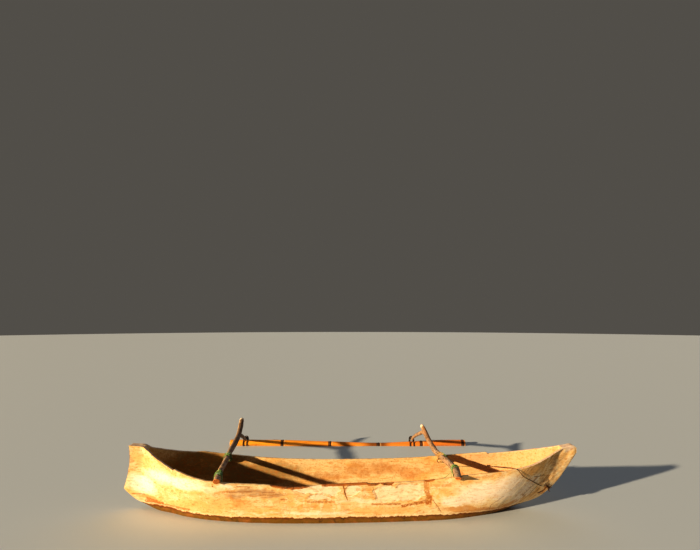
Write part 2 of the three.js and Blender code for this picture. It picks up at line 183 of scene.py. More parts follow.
def curve_at(rows, x):
    """Value at x on a smooth curve through rows of [x, value]."""
    last = len(rows) - 1
    i = max(next((k for k, row in enumerate(rows) if row[0] > x), last) - 1, 0)

    def slope(k):
        (x0, value0), (x1, value1) = rows[max(k - 1, 0)], rows[min(k + 1, last)]
        return (value1 - value0) / (x1 - x0)

    (x0, here), (x1, there) = rows[i], rows[i + 1]
    span, rise = x1 - x0, there - here
    t = (x - x0) / span
    bend = (1 - t) * (slope(i) * span - rise) - t * (slope(i + 1) * span - rise)
    return here + t * rise + t * (1 - t) * bend


SECTION_CURVES = [[(row.x, size) for row, size in zip(STATIONS, column)] for column in zip(*STATIONS)][1:]


def outer_section(x):
    return Station(x, *(curve_at(curve, x) for curve in SECTION_CURVES))


def hollow_share(x):
    from_stern = clipped((x - HOLLOW_STERN_X) / STERN_RAMP)
    from_bow = clipped((HOLLOW_BOW_X - x) / BOW_RAMP)
    return math.sqrt(math.sin(math.pi / 2 * min(from_stern, from_bow)))


def inner_section(x):
    outer = outer_section(x)
    beam = outer.beam - min(WALL, NARROW_WALL_SHARE * outer.beam)
    share = hollow_share(x)
    side = beam + (max(outer.side - WALL, LEAST_HOLLOW) - beam) * share
    bilge = beam + (max(outer.bilge - WALL, LEAST_HOLLOW) - beam) * share
    keel = outer.sheer - (outer.sheer - outer.keel - FLOOR_THICK) * share
    return Station(x, beam, outer.sheer, side, bilge, keel)


def side_point(section, t):
    back = 1.0 - t
    shoulder = section.keel + BILGE_RISE * (section.sheer - section.keel)
    y = back**3 * section.beam + 3 * back * back * t * section.side + 3 * back * t * t * section.bilge
    z = (back**3 * section.sheer + 3 * back * back * t * shoulder
         + 3 * back * t * t * section.keel + t**3 * section.keel)
    return y, z


def even_spots(ways, spots, steps):
    """Spots spread evenly along a way, given as its length after each step: step and share of it."""
    k = 0
    for i in range(spots):
        want = ways[-1] * i / steps
        while k < len(ways) - 2 and ways[k + 1] < want:
            k += 1
        yield k, (want - ways[k]) / max(ways[k + 1] - ways[k], LEAST)


def even_side(section, count):
    """Points down one side, closer together above the water than below it."""
    fine = [side_point(section, i / CURVE_STEPS) for i in range(CURVE_STEPS + 1)]
    drop = min(RIM_ROUND, 0.5 * (section.sheer - section.keel))
    fine = [(fine[0][0], section.sheer - drop)] + [p for p in fine if p[1] < section.sheer - drop - 1e-6]
    if len(fine) < 3:
        fine = [(section.beam * (1 - i / (FLAT_POINTS - 1)), section.sheer - drop * min(i, 1))
                for i in range(FLAT_POINTS)]
    ways = [0.0]
    for a, b in zip(fine, fine[1:]):
        ways.append(ways[-1] + math.dist(a, b) * (1.0 if b[1] > WET_FROM_Z else WET_SHARE))
    return [[fine[k][c] + (fine[k + 1][c] - fine[k][c]) * t for c in (0, 1)]
            for k, t in even_spots(ways, count, count - 1)]


def stern_scoop(x, z):
    fade = clipped(1.0 - (x - STERN_X) / (HOLLOW_STERN_X - STERN_X))
    height = (z - STERN_SCOOP_Z) / STERN_SCOOP_REACH
    return STERN_SCOOP * (1.0 - height * height) * fade


# The gunwales are worn and split down in places: rows of [x, height lost] along each of them.
NEAR_WEAR = [
    (-1.98, 0.000), (-1.80, 0.004), (-1.70, 0.014), (-1.52, 0.013), (-1.455, 0.017), (-1.448, 0.006),
    (-1.35, 0.006), (-1.15, 0.005), (-1.05, 0.001), (-0.80, 0.000), (-0.68, 0.002), (-0.62, 0.008),
    (-0.53, 0.019), (-0.47, 0.023), (-0.36, 0.021), (-0.28, 0.016), (-0.21, 0.004),
    (0.10, 0.000), (0.140, 0.000), (0.150, 0.009), (0.30, 0.007), (0.33, 0.010), (0.36, 0.006),
    (0.60, 0.005), (0.78, 0.000), (0.92, -0.007), (1.07, -0.006), (1.24, -0.002), (1.40, -0.001),
    (1.50, 0.001), (1.58, 0.003), (1.72, 0.004), (1.85, 0.000), (1.99, 0.000),
]
FAR_WEAR = [
    (-1.98, 0.000), (-1.85, 0.004), (-1.79, 0.022), (-1.68, 0.021), (-1.56, 0.017), (-1.44, 0.007),
    (-1.37, -0.006), (-1.25, -0.002),
    (-0.90, 0.000), (-0.40, 0.002), (0.10, 0.000), (0.60, 0.002), (1.00, 0.000), (1.20, -0.003),
    (1.284, -0.005), (1.292, 0.010), (1.40, 0.006), (1.60, 0.001), (1.99, 0.000),
]
WEAR_REACH = 0.10
WEAR_GRAIN = 0.0022
WEAR_DENTS_A_METRE = 23.0
UNWORN_FROM_X = 1.77
UNWORN_BLEND = 0.1

# Lugs, one below each boom at each gunwale: [x, side], then their sizes.
LUGS = [(-1.073, -1), (-1.147, 1), (0.8835, -1), (0.838, 1)]
LUG_LENGTH = 0.050
LUG_HEIGHT = 0.026
LUG_DROP = 0.010
LUG_REACH = 0.066
LUG_ROOT = 0.012
LUG_TAPER = 0.82
LUG_ROUND = 0.006
LUG_RELIEF = 0.002
LUG_DENTS_A_METRE = 45.0
SEAT_GAP = 0.0006
SEAT_SEARCH = 0.12
UP = Vector((0.0, 0.0, 1.0))


def wear_at(table, x):
    for (x0, loss0), (x1, loss1) in zip(table, table[1:]):
        if x <= x1:
            return loss0 + (loss1 - loss0) * max(x - x0, 0.0) / (x1 - x0)
    return table[-1][1]


def ring_at(x):
    """One section as [y, z, girth, inside]: keel, far side, rim, hollow, rim, near side."""
    outer, inner = outer_section(x), inner_section(x)
    half_outer = even_side(outer, OUTER_POINTS)
    half_inner = even_side(inner, INNER_POINTS)
    drop = outer.sheer - half_inner[0][1]
    lip = [
        [outer.beam - RIM_CORNER * RIM_ROUND, outer.sheer - RIM_CORNER * RIM_ROUND],
        [outer.beam - RIM_ROUND, outer.sheer],
        [inner.beam + RIM_ROUND, outer.sheer],
        [inner.beam + RIM_CORNER * RIM_ROUND, outer.sheer - RIM_CORNER * drop],
    ]

    def measured(points, inside):
        girth, out = 0.0, []
        for i, point in enumerate(points):
            girth += math.dist(point, points[i - 1]) if i else 0.0
            out.append([*point, girth, inside])
        return out

    far = measured(half_outer, 0.0)[::-1] + [[*p, 0.0, 0.5] for p in lip] + measured(half_inner, 1.0)
    near = [[-y, z, girth, inside] for y, z, girth, inside in far[1:-1]]
    return far + near[::-1]


def hull_stations():
    count = round((BOW_X - STERN_X) / HULL_STEP)
    places = [STERN_X + (BOW_X - STERN_X) * i / count for i in range(count + 1)]
    for k in range(1, HOLLOW_END_STEPS + 1):
        reach = HOLLOW_END_REACH * (k / HOLLOW_END_STEPS) ** 2
        places += [HOLLOW_STERN_X + reach, HOLLOW_BOW_X - reach]
    places += [HOLLOW_STERN_X, HOLLOW_BOW_X, STERN_X + END_INSET, BOW_X - END_INSET]
    places.sort()
    return [a for a, b in zip(places, [*places[1:], math.inf]) if b - a > LEAST_STEP]


def adze_marks(x, z, girth, inside, side):
    """Shallow scoops of the adze, with ridges between them. On the bow's near side they slant."""
    cell = Vector((x / FACET_LONG, girth / FACET_WIDE, 7.0 * side + 3.0 * inside))
    along = noise.voronoi(cell)[0][0] ** 2
    if side > 0 or inside > 0 or x < BOW_CUTS_X - BOW_CUTS_BLEND:
        return along
    run = x * math.cos(BOW_CUT_LEAN) + z * math.sin(BOW_CUT_LEAN)
    across = z * math.cos(BOW_CUT_LEAN) - x * math.sin(BOW_CUT_LEAN)
    slanted = noise.voronoi(Vector((run / BOW_CUT_LONG, across / BOW_CUT_WIDE, 1.5)))[0][0] ** 2
    share = clipped((x - BOW_CUTS_X + BOW_CUTS_BLEND) / (2 * BOW_CUTS_BLEND))
    return along + (slanted - along) * share


# Places [x, z] on the near side and on the far inner wall where the wood has been torn or cut
# away, bleached, bruised, rusted, stained by smoke, or darkened with painted shade. The long way of a patch
# leans by some degrees.
Patch = namedtuple("Patch", "x z wide high lean share")
TORN = [
    Patch(-0.395, 0.266, 0.060, 0.024, -10, 1.00), Patch(-0.290, 0.270, 0.070, 0.032, 6, 1.00),
    Patch(-0.180, 0.262, 0.095, 0.044, 0, 1.00), Patch(0.030, 0.252, 0.070, 0.040, 0, 0.90),
    Patch(0.300, 0.236, 0.105, 0.058, 0, 1.00), Patch(0.470, 0.232, 0.135, 0.066, 0, 1.00),
    Patch(0.370, 0.220, 0.180, 0.060, 0, 1.00), Patch(-0.250, 0.205, 0.130, 0.022, -4, 0.85),
    Patch(1.515, 0.180, 0.060, 0.014, 30, 0.90),
]
BLEACHED = [
    Patch(-1.420, 0.292, 0.420, 0.060, -4, 0.90), Patch(-1.780, 0.210, 0.170, 0.085, -12, 0.95),
    Patch(0.860, 0.160, 0.165, 0.044, -4, 1.00), Patch(1.060, 0.225, 0.220, 0.095, 12, 1.00),
    Patch(-0.300, 0.085, 0.330, 0.022, 0, 0.80), Patch(-0.980, 0.298, 0.120, 0.016, -6, 0.90),
    Patch(1.290, 0.240, 0.210, 0.130, 20, 1.00), Patch(-0.660, 0.156, 0.130, 0.018, 0, 0.52),
    Patch(0.100, 0.180, 0.250, 0.030, 0, 0.70), Patch(1.480, 0.200, 0.200, 0.080, 42, 1.00),
    Patch(-0.680, 0.088, 0.220, 0.018, 0, 0.62),
]
GILDED = [
    Patch(-0.960, 0.165, 0.200, 0.060, -4, 0.95), Patch(-0.720, 0.120, 0.220, 0.050, 0, 0.85),
    Patch(-1.320, 0.110, 0.240, 0.050, 6, 1.00), Patch(0.300, 0.095, 0.400, 0.030, 0, 0.85),
    Patch(0.760, 0.245, 0.080, 0.050, 0, 0.50), Patch(-1.610, 0.430, 0.110, 0.030, -35, 0.75),
    Patch(-1.130, 0.100, 0.160, 0.050, 0, 0.90), Patch(1.850, 0.380, 0.030, 0.060, 20, 0.60),
    Patch(1.620, 0.385, 0.120, 0.045, 42, 0.95),
    Patch(-1.820, 0.415, 0.140, 0.062, -24, 1.00), Patch(-0.560, 0.170, 0.120, 0.030, 0, 0.60),
]
RUSTED = [
    Patch(1.010, 0.078, 0.270, 0.030, -6, 0.95), Patch(-1.610, 0.078, 0.230, 0.026, -12, 1.00),
    Patch(1.330, 0.072, 0.110, 0.022, 28, 0.80), Patch(-0.945, 0.205, 0.026, 0.040, 0, 0.70),
    Patch(1.660, 0.152, 0.060, 0.016, 30, 1.00), Patch(1.250, 0.045, 0.120, 0.014, 10, 0.90),
    Patch(-0.900, 0.160, 0.070, 0.036, 20, 0.55),
]
BRUISED = [
    Patch(-0.910, 0.232, 0.105, 0.048, 0, 0.90), Patch(-0.640, 0.232, 0.120, 0.034, -3, 0.78),
    Patch(-0.780, 0.248, 0.140, 0.042, -2, 0.90), Patch(-0.443, 0.240, 0.010, 0.026, 0, 0.60),
    Patch(1.660, 0.270, 0.080, 0.050, 50, 0.46),
    # The narrow one at x 1.775 is painted shade: a dark strip down the valley of the bow's hollow cheek,
    # where it turns from the sun.
    Patch(1.775, 0.385, 0.018, 0.110, -18, 0.90), Patch(1.500, 0.190, 0.160, 0.022, 42, 0.46),
    Patch(1.920, 0.495, 0.060, 0.026, 20, 0.90), Patch(-1.930, 0.440, 0.030, 0.100, 0, 0.55),
]
SMOKED_AND_SHADED = [
    Patch(0.080, 0.215, 0.150, 0.070, 0, 0.85), Patch(0.330, 0.225, 0.200, 0.060, 0, 0.90),
    Patch(0.540, 0.190, 0.110, 0.060, 0, 1.00), Patch(0.830, 0.235, 0.130, 0.060, 0, 0.62),
    # The two places in the stern half are painted shade, where the near wall's shadow falls inside.
    Patch(-0.900, 0.180, 0.500, 0.110, 0, 1.00), Patch(-1.350, 0.280, 0.400, 0.160, 0, 1.00),
    Patch(1.030, 0.180, 0.060, 0.050, 0, 0.90), Patch(-0.250, 0.150, 0.300, 0.040, 0, 0.80),
]
WANDERS_A_METRE = (8.0, 13.0)
EDGE_WANDER = (0.050, 0.026)
SHAKES_A_METRE = (27.0, 40.0)
EDGE_SHAKE = (0.016, 0.010)
EDGE_SEED = 280
FADE_OUT = 1.5
TORN_DEPTH = 0.0016
TORN_FROM = 0.36
TORN_SOFT = 0.34
TORN_RAGGED = 0.30
TORN_DENTS_A_METRE = 45.0

# The hollow cheek behind the stem: its deepest line as [x, z] from the top down, and its reach.
BOW_HOLLOW = [(1.832, 0.520), (1.820, 0.505), (1.704, 0.396), (1.672, 0.286), (1.664, 0.230)]
BOW_HOLLOW_DEPTH = 0.0160
BOW_HOLLOW_AFT = 0.050
BOW_HOLLOW_FORE = 0.085
BOW_HOLLOW_CURVE = 1.3

# How dark the near gunwale's edge is made at a place along the hull, and how far down it goes.
EDGE_DARKENING = [
    (-2.00, 0.00), (-0.70, 0.00), (-0.60, 0.60), (-0.42, 0.80), (-0.33, 0.35), (-0.24, 0.15),
    (-0.20, 0.85), (-0.06, 1.00), (0.14, 1.00), (0.20, 0.90), (0.245, 0.30), (0.27, 0.75),
    (0.33, 0.70), (0.37, 0.15), (0.60, 0.15), (0.62, 0.65), (0.67, 0.60), (0.71, 0.10), (2.00, 0.00),
]
EDGE_DARKENING_REACH = 0.014

# The noise that frays the patches' edges and roughens the lugs follows a seed. Unless it is set,
# it differs from one run to the next.
noise.seed_set(EDGE_SEED)


def patch_field(patches, x, z):
    """1 in the middle of a patch, about half at its edge and 0 well outside."""
    wander = noise.noise_vector(Vector((x * WANDERS_A_METRE[0], z * WANDERS_A_METRE[1], 2.0)))
    shake = noise.noise_vector(Vector((x * SHAKES_A_METRE[0], z * SHAKES_A_METRE[1], 7.0)))
    x = x + EDGE_WANDER[0] * wander.x + EDGE_SHAKE[0] * shake.x
    z = z + EDGE_WANDER[1] * wander.y + EDGE_SHAKE[1] * shake.y
    best = 0.0
    for patch in patches:
        lean = math.radians(patch.lean)
        out, rise = x - patch.x, z - patch.z
        along = (out * math.cos(lean) + rise * math.sin(lean)) / patch.wide
        beside = (rise * math.cos(lean) - out * math.sin(lean)) / patch.high
        best = max(best, patch.share * clipped(FADE_OUT - math.hypot(along, beside)))
    return best


def torn_away(x, z):
    dents = noise.noise(Vector((x * TORN_DENTS_A_METRE, z * TORN_DENTS_A_METRE, 0.0)))
    ragged = patch_field(TORN, x, z) + TORN_RAGGED * dents
    return TORN_DEPTH * clipped((ragged - TORN_FROM) / TORN_SOFT)


def bow_hollow(x, z):
    """Depth of the hollow cheek that the adze left behind the stem."""
    for (x0, z0), (x1, z1) in zip(BOW_HOLLOW, BOW_HOLLOW[1:]):
        if z1 <= z <= z0:
            off = x - (x0 + (x1 - x0) * (z - z0) / (z1 - z0))
            reach = BOW_HOLLOW_FORE if off > 0 else BOW_HOLLOW_AFT
            return BOW_HOLLOW_DEPTH * max(1.0 - abs(off) / reach, 0.0) ** BOW_HOLLOW_CURVE
    return 0.0


boom_faces = []
boom_points = []
for name in ("boom_aft", "boom_fore"):
    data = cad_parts[name].data
    boom_faces += [[len(boom_points) + i for i in face.vertices] for face in data.polygons]
    boom_points += [vert.co.copy() for vert in data.vertices]
booms_bvh = BVHTree.FromPolygons(boom_points, boom_faces)
hull_low, hull_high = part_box("hull")


def seated(point):
    """Lowers a point of the gunwale that a boom rests on."""
    hit = booms_bvh.ray_cast(point - UP * SEAT_SEARCH, UP, SEAT_SEARCH)[0]
    return Vector((point.x, point.y, hit.z - SEAT_GAP)) if hit else point


def hull_grid():
    rings, marks = [], []
    for x in hull_stations():
        ring, mark = [], []
        sheer = outer_section(x).sheer
        for y, z, girth, inside in ring_at(x):
            side = 1 if y > 0 else -1
            depth = min((sheer - z) / WEAR_REACH, 1.0)
            loss = wear_at(FAR_WEAR if side > 0 else NEAR_WEAR, x)
            loss += WEAR_GRAIN * (0.5 + noise.noise(Vector((x * WEAR_DENTS_A_METRE, 5.0 * side, 0.0))))
            narrow = clipped((abs(x) - UNWORN_FROM_X) / UNWORN_BLEND)
            worn = z - loss * (1.0 - narrow) * (1.0 - depth) ** 2
            ring.append(Vector((x + stern_scoop(x, z), y, worn)))
            mark.append((girth, inside, side, z))
        rings.append(ring)
        marks.append(mark)
    return rings, marks


def carved(rings, marks):
    """The same rings with the tools' scoops and the log's slow unevenness cut into them."""
    size, last = len(rings[0]), len(rings) - 1
    cut = []
    for i, ring in enumerate(rings):
        before, after = rings[max(i - 1, 0)], rings[min(i + 1, last)]
        row = []
        for j, point in enumerate(ring):
            girth, inside, side, z = marks[i][j]
            normal = (ring[(j + 1) % size] - ring[j - 1]).cross(after[j] - before[j])
            normal = normal.normalized() if normal.length > 1e-9 else Vector()
            swell = noise.noise(point * SWELLS_A_METRE) + 0.5 * noise.noise(point * RIPPLES_A_METRE)
            depth = FACET_DEPTH * (adze_marks(point.x, z, girth, inside, side) - FACET_MIDDLE)
            depth += SWELL_DEPTH * (swell - SWELL_MIDDLE)
            if side < 0 and inside == 0.0:
                depth -= torn_away(point.x, point.z) + bow_hollow(point.x, point.z)
            depth *= RIM_RELIEF if inside == 0.5 else 1.0
            row.append(kept_between(seated(point + normal * depth), hull_low, hull_high))
        cut.append(row)
    return cut


def close_end(mesh, ring, top, lasting):
    """Fills an end with rows of faces that run from side to side, from the keel to the top."""
    columns = len(top) - 1
    left, right = lasting
    spread = [(v.co.y - top[0].co.y) / (top[-1].co.y - top[0].co.y) for v in top]
    rows = []
    for a, b in zip(left, right):
        middle = [mesh.verts.new(a.co.lerp(b.co, s)) for s in spread[1:-1]]
        rows.append([a, *middle, b])
    rows.append(top)
    for lower, upper in zip(rows, rows[1:]):
        for c in range(columns):
            mesh.faces.new((lower[c], lower[c + 1], upper[c + 1], upper[c]))
    keel = ring[0]
    for c in range(columns):
        mesh.faces.new((keel, rows[0][c + 1], rows[0][c]))
    return [vert for row in rows[:-1] for vert in row[1:-1]]


def join_rings(mesh, rings):
    """Faces between rings of points, three-sided where a ring is drawn together to one point."""
    size = len(rings[0])
    for here, there in zip(rings, rings[1:]):
        for j in range(size):
            after = (j + 1) % size
            corners = dict.fromkeys((here[j], here[after], there[after], there[j]))
            if len(corners) > 2:
                mesh.faces.new(tuple(corners))


def placed(name, mesh):
    """Hands the mesh over to a new object of the scene."""
    data = bpy.data.meshes.new(name)
    mesh.to_mesh(data)
    mesh.free()
    made = bpy.data.objects.new(name, data)
    bpy.context.scene.collection.objects.link(made)
    return made


def make_hull():
    rings, marks = hull_grid()
    rings = carved(rings, marks)
    mesh = bmesh.new()
    girth_layer = mesh.verts.layers.float.new("girth")
    inside_layer = mesh.verts.layers.float.new("inside")
    cut_layer = mesh.verts.layers.float.new("cut_end")
    near_tables = {"torn": TORN, "bleached": BLEACHED, "gilded": GILDED, "rusted": RUSTED,
                   "bruised": BRUISED}
    near_layers = {name: mesh.verts.layers.float.new(name) for name in near_tables}
    smoke_and_shade_layer = mesh.verts.layers.float.new("smoke_and_shade")
    darkened_edge_layer = mesh.verts.layers.float.new("darkened_edge")
    grid = []
    for ring, mark in zip(rings, marks):
        row = [mesh.verts.new(point) for point in ring]
        edge = max(point.z for point in ring if point.y < 0)
        edge_dark = wear_at(EDGE_DARKENING, ring[0].x)
        for vert, (girth, inside, side, _) in zip(row, mark):
            vert[girth_layer], vert[inside_layer] = girth, inside
            if side < 0:
                vert[darkened_edge_layer] = edge_dark * max(FADE_OUT - (edge - vert.co.z) / EDGE_DARKENING_REACH, 0.0)
            # Inside: smoke stains, and painted shade over the stern half.
            if inside > 0.5:
                vert[smoke_and_shade_layer] = patch_field(SMOKED_AND_SHADED, vert.co.x, vert.co.z)
            elif side < 0:
                for name, layer in near_layers.items():
                    vert[layer] = patch_field(near_tables[name], vert.co.x, vert.co.z)
        grid.append(row)
    join_rings(mesh, grid)
    size = len(grid[0])
    gunwale = OUTER_POINTS - 1
    for row in (grid[0], grid[-1]):
        far_side = row[1:gunwale + 1]
        near_side = row[size - gunwale:][::-1]
        top = [near_side[-1]] + row[gunwale + 1:size - gunwale][::-1] + [far_side[-1]]
        fresh = close_end(mesh, row, top, (near_side[:-1], far_side[:-1]))
        for vert in fresh:
            vert[cut_layer] = 1.0
            vert.co.x += END_RELIEF * noise.noise(vert.co * END_DENTS_A_METRE)
    return mesh, inside_layer


def add_lug(mesh, x, side):
    """Small cleat carved out of the wall below a boom."""
    section = outer_section(x)
    face = section.beam - WALL
    middle = face + LUG_ROOT / 2 - LUG_REACH / 2
    made = bmesh.ops.create_cube(mesh, size=1.0)["verts"]
    for vert in made:
        taper = LUG_TAPER if vert.co.y < 0 else 1.0
        vert.co = Vector((x + vert.co.x * LUG_LENGTH * taper,
                          side * (middle + vert.co.y * (LUG_REACH + LUG_ROOT)),
                          section.sheer - LUG_DROP - LUG_HEIGHT / 2 + vert.co.z * LUG_HEIGHT * taper))
    edges = list(dict.fromkeys(edge for vert in made for edge in vert.link_edges))
    bmesh.ops.bevel(mesh, geom=edges, offset=LUG_ROUND, segments=3, profile=0.6, affect="EDGES")


hull_mesh, hull_inside = make_hull()
known = set(hull_mesh.verts)
for lug_x, lug_side in LUGS:
    add_lug(hull_mesh, lug_x, lug_side)
for vert in hull_mesh.verts:
    if vert not in known:
        vert[hull_inside] = 1.0
        vert.co = seated(vert.co + LUG_RELIEF * noise.noise_vector(vert.co * LUG_DENTS_A_METRE))
bmesh.ops.recalc_face_normals(hull_mesh, faces=hull_mesh.faces)
for face in hull_mesh.faces:
    face.smooth = True
hull_mesh.normal_update()
upward_layer = hull_mesh.verts.layers.float.new("upward")
for vert in hull_mesh.verts:
    vert[upward_layer] = vert.normal.z
hull = placed("hewn_hull", hull_mesh)


class Tone:
    """A socket of a finish. Sums and products of values add their Math nodes."""

    def __init__(self, finish, socket):
        self.finish, self.socket = finish, socket

    def worked(self, operation, first, second=0.5):
        settings = {"operation": operation}
        return self.finish.put("ShaderNodeMath", settings, {0: first, 1: second})

    def __add__(self, other):
        return self.worked("ADD", self, other)

    def __radd__(self, other):
        return self.worked("ADD", other, self)

    def __sub__(self, other):
        return self.worked("SUBTRACT", self, other)

    def __rsub__(self, other):
        return self.worked("SUBTRACT", other, self)

    def __mul__(self, other):
        return self.worked("MULTIPLY", self, other)

    def __rmul__(self, other):
        return self.worked("MULTIPLY", other, self)

    def __abs__(self):
        return self.worked("ABSOLUTE", self)

    def most(self, other):
        return self.worked("MAXIMUM", self, other)


def feed(tree, socket, value):
    value = value.socket if isinstance(value, Tone) else value
    if isinstance(value, bpy.types.NodeSocket):
        tree.links.new(value, socket)
    else:
        socket.default_value = value


def add_node(tree, kind, settings=None, sockets=None):
    """Adds a node: its settings first, then the values or links of its sockets."""
    node = tree.nodes.new(kind)
    for name, value in (settings or {}).items():
        setattr(node, name, value)
    for key, value in (sockets or {}).items():
        feed(tree, node.inputs[key], value)
    return node


class Finish:
    """A material and the nodes that colour it by the place on the piece."""

    def __init__(self, name):
        self.material = bpy.data.materials.new(name)
        self.material.use_nodes = True
        self.tree = self.material.node_tree
        self.shader = self.tree.nodes["Principled BSDF"]
        self.whole = self.put("ShaderNodeTexCoord", output="Object")
        self.x, self.y, self.z = (
            self.put("ShaderNodeSeparateXYZ", None, {0: self.whole}, axis) for axis in "XYZ")

    def put(self, kind, settings=None, sockets=None, output=0):
        return Tone(self, add_node(self.tree, kind, settings, sockets).outputs[output])

    def point(self, x, y, z):
        return self.put("ShaderNodeCombineXYZ", None, {0: x, 1: y, 2: z})

    def grown(self, name):
        return self.put("ShaderNodeAttribute", {"attribute_name": name}, output="Fac")

    def cloud(self, where, scale, detail=3.0, roughness=0.55, distortion=0.0):
        return self.put("ShaderNodeTexNoise", None, {
            "Vector": where, "Scale": scale, "Detail": detail, "Roughness": roughness,
            "Distortion": distortion})

    def stretched(self, scales, detail, roughness=0.55, distortion=0.0):
        """Cloud drawn out by its own scale along each of x, y and z."""
        where = self.point(self.x * scales[0], self.y * scales[1], self.z * scales[2])
        return self.cloud(where, 1.0, detail, roughness, distortion)

    def rise(self, value, low, high):
        """0 below low, 1 above high and an even curve between them."""
        return self.put("ShaderNodeMapRange", {"interpolation_type": "SMOOTHSTEP", "clamp": True}, {
            "Value": value, "From Min": low, "From Max": high})

    def blend(self, share, below, above):
        below, above = (value if isinstance(value, Tone) else (*value, 1.0) for value in (below, above))
        settings = {"data_type": "RGBA", "clamp_factor": True}
        return self.put("ShaderNodeMix", settings, {0: share, 6: below, 7: above}, 2)

    def coated(self, colour, coats):
        """The colour with coats laid over it one by one, each of them its share and its colour."""
        for share, coat in coats:
            colour = self.blend(share, colour, coat)
        return colour

    def finished(self, colour, roughness, height, depth):
        """Joins the colour, the roughness and the relief to the shader."""
        relief = self.put("ShaderNodeBump", None, {"Strength": 1.0, "Distance": depth, "Height": height})
        for name, value in (("Base Color", colour), ("Roughness", roughness), ("Normal", relief)):
            feed(self.tree, self.shader.inputs[name], value)
        return self.material


# Colours of the bare wood, from the pale sapwood to the stains that water and smoke leave, a chalk white
# that also serves as a painted highlight, and a dark brown of painted shade.
CREAM = (0.950, 0.830, 0.580)
# Chalk white of bleached wood, laid on more thickly at the stern's flare as a painted highlight.
CHALK_AND_HIGHLIGHT = (0.960, 0.830, 0.800)
STRAW = (0.880, 0.640, 0.360)
GOLD = (0.840, 0.510, 0.200)
HONEY = (0.880, 0.660, 0.370)
# Painted shade: the dark brown laid over the inside's stern half.
PAINTED_SHADE_BROWN = (0.330, 0.215, 0.080)
AMBER = (0.620, 0.280, 0.080)
RUSSET = (0.450, 0.150, 0.030)
BRUISE = (0.490, 0.300, 0.165)
BARK_BROWN = (0.150, 0.055, 0.015)
OLIVE = (0.210, 0.105, 0.014)
HEWN_BROWN = (0.790, 0.500, 0.220)
BOW_HONEY = (0.700, 0.430, 0.245)
PINK_GREY = (0.680, 0.570, 0.510)
WET_BROWN = (0.170, 0.046, 0.006)
SOOT = (0.035, 0.018, 0.007)

# Cracks and narrow stains that run between two places [x, z] of the near side.
Streak = namedtuple("Streak", "x z to_x to_z half share")
SPLITS = [
    Streak(-0.090, 0.306, -0.045, 0.300, 0.0070, 0.95), Streak(-0.056, 0.298, -0.040, 0.247, 0.0038, 0.95),
    Streak(-0.040, 0.247, -0.020, 0.186, 0.0020, 0.90), Streak(0.186, 0.280, 0.222, 0.195, 0.0010, 0.45),
    Streak(-0.545, 0.1955, -0.505, 0.194, 0.0035, 0.60), Streak(0.671, 0.172, 0.712, 0.122, 0.0014, 0.65),
    Streak(0.712, 0.122, 0.738, 0.070, 0.0012, 0.55), Streak(-1.902, 0.122, -1.765, 0.125, 0.0020, 0.60),
    Streak(0.280, 0.297, 0.340, 0.293, 0.0020, 0.85), Streak(-0.905, 0.298, -0.800, 0.292, 0.0014, 0.60),
    Streak(1.560, 0.305, 1.676, 0.290, 0.0018, 0.60), Streak(1.558, 0.262, 1.625, 0.315, 0.0016, 0.50),
    Streak(1.154, 0.036, 1.154, 0.106, 0.0014, 0.45), Streak(1.154, 0.106, 1.257, 0.177, 0.0014, 0.40),
    Streak(1.350, 0.048, 1.560, 0.235, 0.0018, 0.45), Streak(1.420, 0.040, 1.620, 0.230, 0.0016, 0.40),
    Streak(1.628, 0.136, 1.668, 0.148, 0.0050, 0.90), Streak(1.668, 0.148, 1.700, 0.176, 0.0040, 0.90),
    Streak(-0.720, 0.226, -0.560, 0.230, 0.0016, 0.50),
    Streak(-0.700, 0.246, -0.600, 0.250, 0.0014, 0.50), Streak(-0.960, 0.250, -0.780, 0.256, 0.0014, 0.45),
]
STAINS = [
    Streak(0.620, 0.330, 0.622, 0.250, 0.0150, 0.80), Streak(0.628, 0.250, 0.640, 0.170, 0.0130, 0.80),
    Streak(0.640, 0.190, 0.636, 0.160, 0.0200, 0.95), Streak(0.618, 0.165, 0.524, 0.150, 0.0080, 0.90),
    Streak(0.524, 0.150, 0.420, 0.130, 0.0070, 0.90), Streak(0.176, 0.150, 0.402, 0.147, 0.0024, 0.80),
    Streak(-0.335, 0.175, -0.120, 0.171, 0.0026, 0.70), Streak(0.060, 0.264, 0.172, 0.263, 0.0065, 0.50),
    Streak(0.655, 0.291, 0.810, 0.285, 0.0055, 0.50), Streak(-1.735, 0.080, -1.600, 0.066, 0.0220, 0.85),
    Streak(-1.600, 0.062, -1.330, 0.064, 0.0120, 0.70), Streak(0.900, 0.342, 1.180, 0.352, 0.0040, 0.45),
    Streak(-1.700, 0.466, -1.500, 0.378, 0.0080, 0.45), Streak(-1.080, 0.240, -0.930, 0.262, 0.0050, 0.60),
]


def streak_share(finish, across, up, mark, soft):
    """1 along a streak, falling to 0 at its edges."""
    length = math.dist((mark.x, mark.z), (mark.to_x, mark.to_z))
    run_x, run_z = (mark.to_x - mark.x) / length, (mark.to_z - mark.z) / length
    along = (across - mark.x) * run_x + (up - mark.z) * run_z
    beside = abs((across - mark.x) * -run_z + (up - mark.z) * run_x)
    past = (along - length).most(0.0 - along)
    return (1.0 - finish.rise(beside.most(past), mark.half, mark.half + soft)) * mark.share


def marked(finish, across, up, marks, soft):
    """1 where any of the marks runs, falling to 0 at its edges."""
    shares = [streak_share(finish, across, up, mark, soft) for mark in marks]
    total = shares[0]
    for share in shares[1:]:
        total = total.most(share)
    return total


